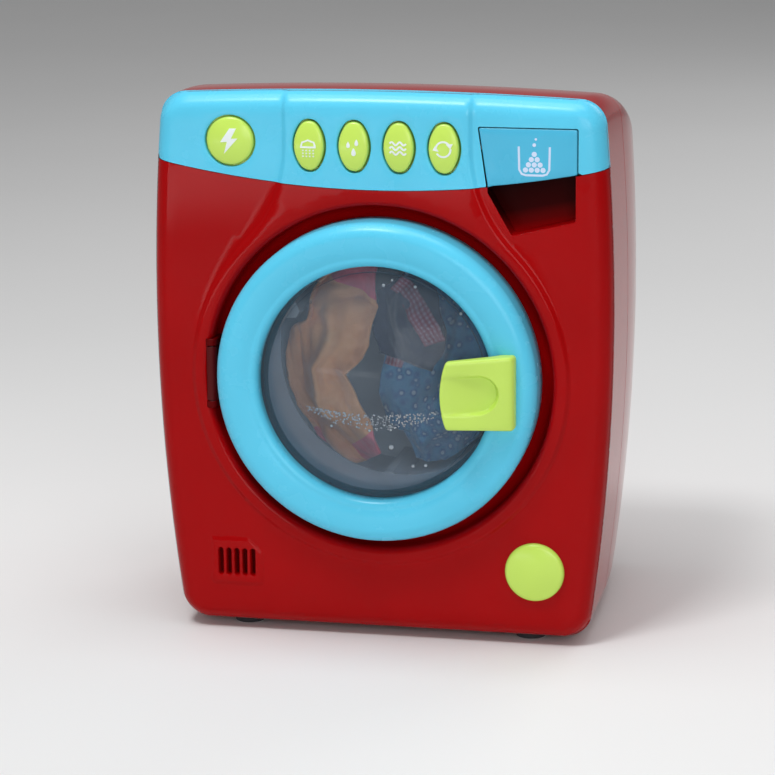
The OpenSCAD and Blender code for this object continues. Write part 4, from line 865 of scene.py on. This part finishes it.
bolt = [[(0.3, 5.2), (-3.6, -0.4), (-0.7, -0.2), (-2.2, -5.2), (3.6, 1.2), (0.9, 1.1), (3.0, 5.2)]]
shower = [band([(-2.9, -0.2), (-2.4, 1.5), (0.0, 2.4), (2.4, 1.5), (2.9, -0.2)], 0.7),
          band([(-3.2, -0.4), (3.2, -0.4)], 0.7)]
shower += [circle(dx, dz, 0.34, 10) for dx in (-2.1, -0.7, 0.7, 2.1) for dz in (-1.7, -2.9, -4.1)]
waves = [band([(-3.3 + 6.6 * i / 18, dz + 0.65 * sin(i / 18 * 4 * pi)) for i in range(19)], 0.75)
         for dz in (1.9, 0.0, -1.9)]
drops = [[(dx + 0.95 * s * sin(t) * sin(t / 2), dz + 1.3 * s * cos(t))
          for t in [2 * pi * i / 20 for i in range(20)]]
         for dx, dz, s in ((-1.9, 1.0, 1.0), (1.5, 1.9, 1.0), (0.3, -1.9, 1.25))]
turn = [band([(3.0 * cos(radians(a)), 3.0 * sin(radians(a))) for a in range(a0, a1, 8)], 0.75)
        for a0, a1 in ((30, 196), (212, 372))]
turn += [[(3.9, 2.3), (1.1, 2.1), (2.9, 0.2)], [(-4.3, -0.4), (-1.7, -0.9), (-3.3, 1.3)]]
decal("power_mark", bolt, power_top, -POWER_X, POWER_Z, PRINT, "power", "green_trim")
for i, marks in enumerate((shower, drops, waves, turn)):
    decal("mode_mark_%d" % (i + 1), marks, mode_tops[i], MODE_X[i], BUTTON_Z, PRINT, "mode_%d" % (i + 1),
          "green_trim")
cup = [band([(-6.2, 5.6), (-6.0, -3.6), (-5.0, -5.3), (-3.4, -5.8), (3.4, -5.8), (5.0, -5.3), (6.0, -3.6),
             (6.2, 5.6)], 0.85)]
balls = [circle((k - row / 2) * 2.34, -3.7 + (3 - row) * 2.1, 1.04, 16) for row in range(4) for k in range(row + 1)]
balls += [circle(0.0, 6.3, 0.75, 12), circle(0.6, 8.6, 0.5, 10)]
decal("drawer_mark", cup + balls, flat(FRONT_Y), 63.4, 201.2, PRINT_L, "drawer", "blue_drawer", 0.06, 0.2)


# ---- door ----
shoulder = [(RING_R, -42.6), (RING_R, -48.0)] + arc(60.2, -54.7, 5.8, 0, -90, 14)
crown = [(58.0, -60.5), (56.0, -60.35), (54.2, -60.05), (52.6, -59.6)]
lip = [(51.3 + 3.1 * cos(radians(a)), -56.35 - 3.1 * sin(radians(a))) for a in range(78, 181, 12)]
inner = [(48.2, -55.6), (48.2, -53.45), (53.8, -53.45), (53.8, -56.0), (60.0, -57.6), (63.4, -54.2), (63.8, -50.0),
         (63.8, -42.0), (65.6, -42.0)]
piece("ring", *lathe(shoulder + crown + lip + inner, 0, DOOR_Z, 200), BLUE, "door", "blue_trim",
      replaces=("door_ring",))

DOME_R = (GLASS_R ** 2 + DOME_RISE ** 2) / (2 * DOME_RISE)


def dome_y(r, t=0.0):
    return APEX_Y + DOME_R - sqrt((DOME_R - t) ** 2 - r * r)


outer = [(GLASS_R * i / 26, dome_y(GLASS_R * i / 26)) for i in range(27)]
inn = [(45.0 * i / 22, dome_y(45.0 * i / 22, GLASS_WALL)) for i in range(22, -1, -1)]
prof = outer + [(GLASS_R, -53.3), (53.1, -53.3), (53.1, -51.65), (45.2, -51.65), (44.95, -52.6)] + inn
piece("window", *lathe(prof, 0, DOOR_Z, 180, closed=False), GLASS, "door", "window", replaces=("door_window",))

# handle: a sloping pull with eased edges and a thumb scoop
H_L, H_R, H_ARC, ROOT, HALF_H, END_H = 29.5, 58.3, 40, -65.5, 13.85, 15.2
H_BEND, SCOOP_X, SCOOP_R = H_R - 2, H_L + 14.6, 8.3
slope = (ROOT - PULL_Y) / (H_BEND - H_L)


def h_left(z):
    return H_L + H_ARC - sqrt(H_ARC ** 2 - z * z)


def face(x):
    y = PULL_Y + slope * (x - H_L)
    if x > H_BEND:
        y += ((x - H_BEND) / 2) ** 2 * 1.6
    return y


def scoop(x, z):
    """How deep the thumb scoop is: a round end at the right, open to the left."""
    rim = SCOOP_R - hypot(max(0, x - SCOOP_X), z)
    if rim <= 0:
        return 0.0
    fall = smoothstep((x - H_L - 1.0) / (SCOOP_X + 5 - H_L))
    return (0.5 + 2.5 * fall) * smoothstep(rim / 1.5)


loop = [(h_left(-13.9), -13.9)]
loop += [(h_left(-HALF_H + 2 * HALF_H * i / 10), -HALF_H + 2 * HALF_H * i / 10) for i in range(1, 10)]
loop = rounded(loop + [(h_left(13.9), 13.9), (H_R, END_H), (H_R, -END_H)], 1.6)
loop = resample(loop, 0.9)
EASE_H = [(0.0, 1.3), (0.12, 0.75), (0.38, 0.38), (0.75, 0.12), (1.3, 0.0)]
sc_pts = []
for rr in (SCOOP_R, 7.9, 7.5, 7.1, 6.8):
    sc_pts += [(SCOOP_X + rr * cos(t), rr * sin(t)) for t in [-pi / 2 + pi * k / 30 for k in range(31)]]
    sc_pts += [(SCOOP_X - k * 0.9, s * rr) for k in range(1, 17) for s in (-1, 1)]
hv, hf = skin(loop, [], sc_pts, 1.15, lambda x, z: face(x) + scoop(x, z), {0}, EASE_H)


def under(x):
    """The handle's back: a hook over the window, then down on to the ring's crest."""
    pts = [(H_L - 0.1, PULL_Y + 2.4), (H_L + 1, PULL_Y + 3.2), (H_L + 19, -62.9), (H_L + 22.5, -60.4), (H_R, -59.2)]
    for a, b in zip(pts, pts[1:]):
        if x <= b[0]:
            t = max(0, (x - a[0]) / (b[0] - a[0]))
            return a[1] + (b[1] - a[1]) * t
    return pts[-1][1]


k = len(hv)
verts = hv + [(x, max(under(x), face(x) + EASE_H[0][1] + 0.3), z) for x, _, z in hv]
faces = hf + [tuple(i + k for i in reversed(f)) for f in hf]
uses = {}
for f in hf:
    for a, b in zip(f, f[1:] + f[:1]):
        uses[(min(a, b), max(a, b))] = uses.get((min(a, b), max(a, b)), 0) + 1
faces += [(a, b, b + k, a + k) for (a, b), times in uses.items() if times == 1]
piece("handle", [(x, y, z + DOOR_Z) for x, y, z in verts], faces, GREEN, "door", "green_trim",
      replaces=("door_handle",))

# hinge lugs on the body, in a dark red that is painted shade
LUG_X, LUG_Y, LUG_OFF, LUG_HALF = (-72.4, -67.6), (-50.9, -38.4), 13.0, 1.5
lug = resample(rounded([(LUG_X[0], LUG_Y[0]), (LUG_X[1], LUG_Y[0]), (LUG_X[1], LUG_Y[1]), (LUG_X[0], LUG_Y[1])],
                       2.2), 0.8)
for level, z in (("low", DOOR_Z - LUG_OFF), ("high", DOOR_Z + LUG_OFF)):
    verts, faces = loft([[(x, y, z + dz) for x, y in grown(lug, -g)] for dz, g in (
        (-LUG_HALF, 0.3), (0.3 - LUG_HALF, 0), (LUG_HALF - 0.3, 0), (LUG_HALF, 0.3))])
    k = len(lug)
    faces += [tuple(range(k)), tuple(range(3 * k, 4 * k))]
    piece("hinge_lug_" + level, verts, faces, RED_PAINTED_SHADE, "body", "red_shell")

# bubbles along a sagging line on the window's inside, with a few larger drops: clear beads with a painted highlight
# and a painted dark rim
bub = []
r2 = random.Random(3)
for _ in range(250):
    t = r2.random()
    sag = sin(pi * t)
    z = -8.9 - 1.3 * sag - (2.2 + 4.4 * sag) * r2.random() ** 1.5
    bub.append((-27.0 + 54.0 * t, z, r2.uniform(0.3, 0.5)))
bub += [(-16.4, -16.2, 0.75), (-0.4, -17.0, 0.7), (8.2, -16.4, 0.7), (-5.5, -15.7, 0.55), (2.6, -16.6, 0.55),
        (7.9, -24.2, 1.3), (15.8, -33.0, 0.9), (20.8, -32.8, 0.9), (3.8, 40.5, 0.8), (7.0, 42.5, 0.7),
        (16.4, 40.0, 0.8), (34.6, 29.4, 0.8)]
parts = []
for x, z, r in bub:
    y = dome_y(hypot(x, z), GLASS_WALL) + r * 0.55
    ball = [(0, -r)] + [(r * sin(pi * k / 7), -r * cos(pi * k / 7)) for k in range(1, 7)] + [(0, r)]
    sv, sf = lathe(ball, 0, 0, 10, closed=False)
    parts.append(([(vx + x, vy + y, vz + z + DOOR_Z) for vx, vy, vz in sv], sf))
piece("beads", *joined(parts), BEAD_PAINTED_LIGHT, "door", "window")

# ---- filter cap ----
CAP_RISE, CAP_CROWN_R = 3.4, 45
cap = [(r, FRONT_Y - CAP_RISE + CAP_CROWN_R - sqrt(CAP_CROWN_R ** 2 - r * r))
       for r in (0, 2, 4, 6, 8, 9.5, 10.6, 11.2)]
cap += [(11.7, FRONT_Y - 1.65), (12.0, FRONT_Y - 1.2), (CAP_R, FRONT_Y - 0.5), (CAP_R, FRONT_Y - 0.05),
        (8.2, FRONT_Y - 0.05), (8.2, FRONT_Y + 4.5), (6.8, FRONT_Y + 4.5), (6.8, FRONT_Y + 0.5), (0, FRONT_Y + 0.5)]
piece("cap", *lathe(cap, CAP_X, CAP_Z, 120, closed=False), GREEN, "body", "green_trim", replaces=("filter_cap",))


# ---- laundry: three cloths gathered in folds over their solids, inside the drum ----
CLOTH_R, LIFTERS, LIFTER_RISE, LIFTER_WIDTH = 47.0, (30, 150, 270), 6.8, 7.0


def drum_limit(t):
    """How far out cloth may lie in the direction t: less over the three lifters."""
    gap = min(abs((t - radians(a) + pi) % (2 * pi) - pi) for a in LIFTERS)
    return CLOTH_R - LIFTER_RISE * exp(-(gap * 44 / LIFTER_WIDTH) ** 2)


def bed(nm):
    """The front of a solid as a soft surface: its Y at a place, deeper beyond its edge."""
    me = node[nm].data
    tree = BVHTree.FromPolygons([v.co[:] for v in me.vertices], [p.vertices[:] for p in me.polygons])

    def at(x, z):
        total = 0.0
        for dx, dz in ((0, 0), (3, 0), (-3, 0), (0, 3), (0, -3), (5, 5), (-5, 5), (5, -5), (-5, -5)):
            hit = tree.ray_cast(Vector(((x + dx) * MM, -0.09, (DOOR_Z + z + dz) * MM)), Vector((0, 1, 0)))[0]
            total += hit.y / MM if hit else -13.0
        return total / 9
    return at


def gather(name, spine, spans, flat_w, waves, amp, seed, mats, pick, replaced, lift, thick):
    """A sheet gathered into folds that run along its spine, lying on the form of its solid."""
    step = 0.9
    base = bed(replaced or "laundry_navy")
    pts = resample(spine, 0.8, closed=False)
    run = [0.0]
    for q0, q1 in zip(pts, pts[1:]):
        run.append(run[-1] + distance(q0, q1))
    n_u, n_v = int(flat_w / step), int(run[-1] * 1.15 / step)
    verts = []
    for j in range(n_v + 1):
        q = j / n_v
        d = q * run[-1]
        k = min(range(len(run)), key=lambda i: abs(run[i] - d))
        p0, p1 = Vector(pts[max(0, k - 6)]), Vector(pts[min(len(pts) - 1, k + 6)])
        t = (p1 - p0).normalized()
        side = Vector((-t.y, t.x))
        f = q * (len(spans) - 1)
        i0 = min(int(f), len(spans) - 2)
        g = smoothstep(f - i0)
        span = spans[i0] * (1 - g) + spans[i0 + 1] * g
        for i in range(n_u + 1):
            u = i / n_u
            w = u + 0.05 * sin(9 * q + seed) * sin(pi * u)
            warp = noise.noise(Vector((u * 1.6, q * 2.1, seed * 3.7)))
            ph = 2 * pi * waves * w + 1.9 * warp * 2 + seed
            roll = sin(ph)
            roll = roll * (1.25 - 0.25 * roll * roll)
            fade = 0.35 + 0.65 * min(1.0, 3.2 * min(u, 1 - u) + 0.15)
            c = Vector(pts[k]) + side * ((w - 0.5) * span + 0.32 * amp * cos(ph))
            fine = noise.noise(Vector((c.x * 0.16, c.y * 0.16, seed))) * 1.9
            fine += (1 - abs(noise.noise(Vector((c.x * 0.09 + 3, c.y * 0.12, seed + 5)))) * 3) * 1.3
            x, z = c.x, c.y
            r, lim = hypot(x, z), drum_limit(atan2(c.y, c.x)) - 1.2
            if r > lim:
                x, z = x * lim / r, z * lim / r
            y = base(x, z) - lift - amp * fade * roll - fine
            verts.append((x, max(-43.0, min(y, 6.5)), DOOR_Z + z))
    w1 = n_u + 1
    for _ in range(2):
        verts = [tuple((verts[k][c] * 2 + verts[k - 1][c] + verts[k + 1][c] + verts[k - w1][c] + verts[k + w1][c]) / 6
                       for c in range(3))
                 if 0 < k % w1 < w1 - 1 and w1 <= k < len(verts) - w1 else verts[k] for k in range(len(verts))]
    faces = [(j * w1 + i, j * w1 + i + 1, (j + 1) * w1 + i + 1, (j + 1) * w1 + i)
             for j in range(n_v) for i in range(n_u)]
    me = new_mesh(name, verts, faces, mats)
    for k, pl in enumerate(me.polygons):
        pl.use_smooth = True
        pl.material_index = pick((k % n_u + 0.5) / n_u, (k // n_u + 0.5) / n_v)
    area = sum(pl.area for pl in me.polygons)
    att = me.attributes.new("cloth_uv", "FLOAT_VECTOR", "POINT")
    for k in range(len(verts)):
        att.data[k].vector = ((k % w1) / n_u * flat_w * MM, (k // w1) / n_v * area / (flat_w * MM), 0)
    ob = new_object(name, me)
    th = ob.modifiers.new("thickness", "SOLIDIFY")
    th.thickness = thick * MM
    th.offset = 0.0
    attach(ob, "drum_body")
    if replaced:
        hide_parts(replaced)
    return ob


def towel_cloth(u, v):
    """Pink corners on the towel."""
    return 1 if (v < 0.11 and u > 0.4) or (0.8 < v < 0.92 and u < 0.2) or (v > 0.9 and u > 0.62) else 0


gather("blue_shirt", [(21, 42), (24, 28), (23, 14), (19, 0), (17, -12), (22, -28), (20, -43)],
       [34, 38, 40, 48, 50, 38, 24], 66, 2.6, 1.9, 4, [SPOTS, PLAID],
       lambda u, v: 1 if 0.46 < v < 0.56 and 0.02 < u < 0.16 else 0, "laundry_blue", 2.0, 0.7)
gather("navy_sock", [(-1, 34), (5, 25), (8, 16), (5, 1)], [16, 30, 32, 24], 46, 1.3, 1.5, 9, [NAVY],
       lambda u, v: 0, "laundry_navy", 3.4, 0.8)
gather("plaid_ribbon", [(2, 35), (10, 28), (18, 18), (20, 12)], [8, 9, 9.5, 9], 10.5, 0.6, 0.4, 5, [PLAID],
       lambda u, v: 0, None, 6.2, 0.5)
gather("towel", [(-20, 45), (-26, 30), (-27, 14), (-33, 0), (-30, -14), (-25, -30), (-14, -44)],
       [26, 42, 37, 27, 32, 36, 26], 62, 1.7, 3.4, 2.6, [PLUSH, TRIM], towel_cloth,
       "laundry_orange", 3.0, 1.2)

# ---- materials of the solids that stay ----
for names, mat in (
        (("battery_door",), RED), (("door_inner_ring",), INNER_RING_KNUCKLE_SHADE),
        (("tub", "drawer_guide", "speaker_clamp", "gearbox_cover"), GREY), (("drum",), DRUM),
        (("board_screws", "door_screws", "tub_screws", "gearbox_screws", "case_screws", "battery_door_screw",
          "hinge_pin", "door_catch", "drum_shaft", "idler_axle", "motor_shaft", "battery_contacts"), STEEL),
        (("motor",), CAN), (("shaft_bush", "motor_pinion"), BRASS), (("drum_gear", "idler_gear"), WHITE),
        (("battery_box",), BLACK), (("speaker",), CONE_RED_REFLECTION), (("circuit_board",), BOARD), (("keypad",), KEYPAD),
        (("batteries",), CELL), (("feet",), RUBBER)):
    for nm in names:
        ob = node[nm]
        for look in ob.material_slots:
            look.link, look.material = "OBJECT", mat
        if not ob.material_slots:
            ob.data.materials.append(mat)
        for p in ob.data.polygons:
            p.use_smooth = True
        w = ob.modifiers.new("normals", "WEIGHTED_NORMAL")
        w.keep_sharp = False

# ---- floor, light and camera ----
fm, nt, b = principled("floor_pale")
link(ramp(nt, texture(nt, 3.0, 2.0), [(0.3, 0.80), (0.7, 0.82)]), b.inputs["Base Color"])
put(b, Roughness=0.6)
w = 4000
floor = new_object("floor", new_mesh("floor", [(-w, -w, 0), (w, -w, 0), (w, w, 0), (-w, w, 0)], [(0, 1, 2, 3)], [fm]))

world = bpy.data.worlds.new("studio")
scene.world = world
world.use_nodes = True
wn = world.node_tree
bg = wn.nodes["Background"]
sep = add(wn, "SeparateXYZ")
link(add(wn, "TexCoord").outputs["Generated"], sep.inputs["Vector"])
link(ramp(wn, sep.outputs["Z"], [(0.0, 0.9), (0.12, (0.55, 0.55, 0.56)), (0.6, 0.8)]), bg.inputs["Color"])
put(bg, Strength=0.36)
scene.view_settings.view_transform = "Standard"


def lamp(name, at, to, size, power):
    l = bpy.data.lights.new(name, "AREA")
    l.shape = "RECTANGLE"
    l.size, l.size_y = size
    l.energy = power
    o = new_object(name, l)
    o.location = at
    o.rotation_euler = (Vector(to) - Vector(at)).to_track_quat("-Z", "Y").to_euler()


lamp("key", (-0.25, -0.62, 1.4), (0, 0, 0.11), (0.35, 0.3), 9.0)
lamp("front", (0.55, -1.5, 0.5), (0, 0, 0.11), (0.9, 0.7), 7.0)
lamp("top", (0.0, -0.1, 1.1), (0, 0, 0.2), (0.8, 0.5), 4.5)
lamp("back", (0.7, 1.3, 1.0), (0, 0, 0.11), (0.9, 0.7), 5.0)
lamp("low_strip", (-0.35, -0.8, 0.06), (0, -0.05, 0.08), (0.6, 0.05), 0.35)

# the photograph's camera, as it was fitted: degrees, metres and pixels
AZ, EL, ROLL, DIST, FPX = 11.71, 12.84, -0.43, 1.2577, 2991.7
PHOTO_PX, SHIFT_PX = 775, (-15.59, -46.42)
a, e = radians(AZ), radians(EL)
target = Vector((0, 0, 0.115))
at = target + DIST * Vector((sin(a) * cos(e), -cos(a) * cos(e), sin(e)))
cd = bpy.data.cameras.new("camera")
cam = new_object("camera", cd)
fw = (target - at).normalized()
right = fw.cross(Vector((0, 0, 1))).normalized()
up = right.cross(fw)
ro = radians(ROLL)
r2v = right * cos(ro) + up * sin(ro)
u2v = up * cos(ro) - right * sin(ro)
rot = Matrix((r2v, u2v, -fw)).transposed().to_4x4()
cam.matrix_world = Matrix.Translation(at) @ rot
cd.sensor_width = 36.0
cd.lens = FPX / PHOTO_PX * cd.sensor_width
cd.shift_x, cd.shift_y = (px / PHOTO_PX for px in SHIFT_PX)
cd.clip_start = 0.05
scene.camera = cam
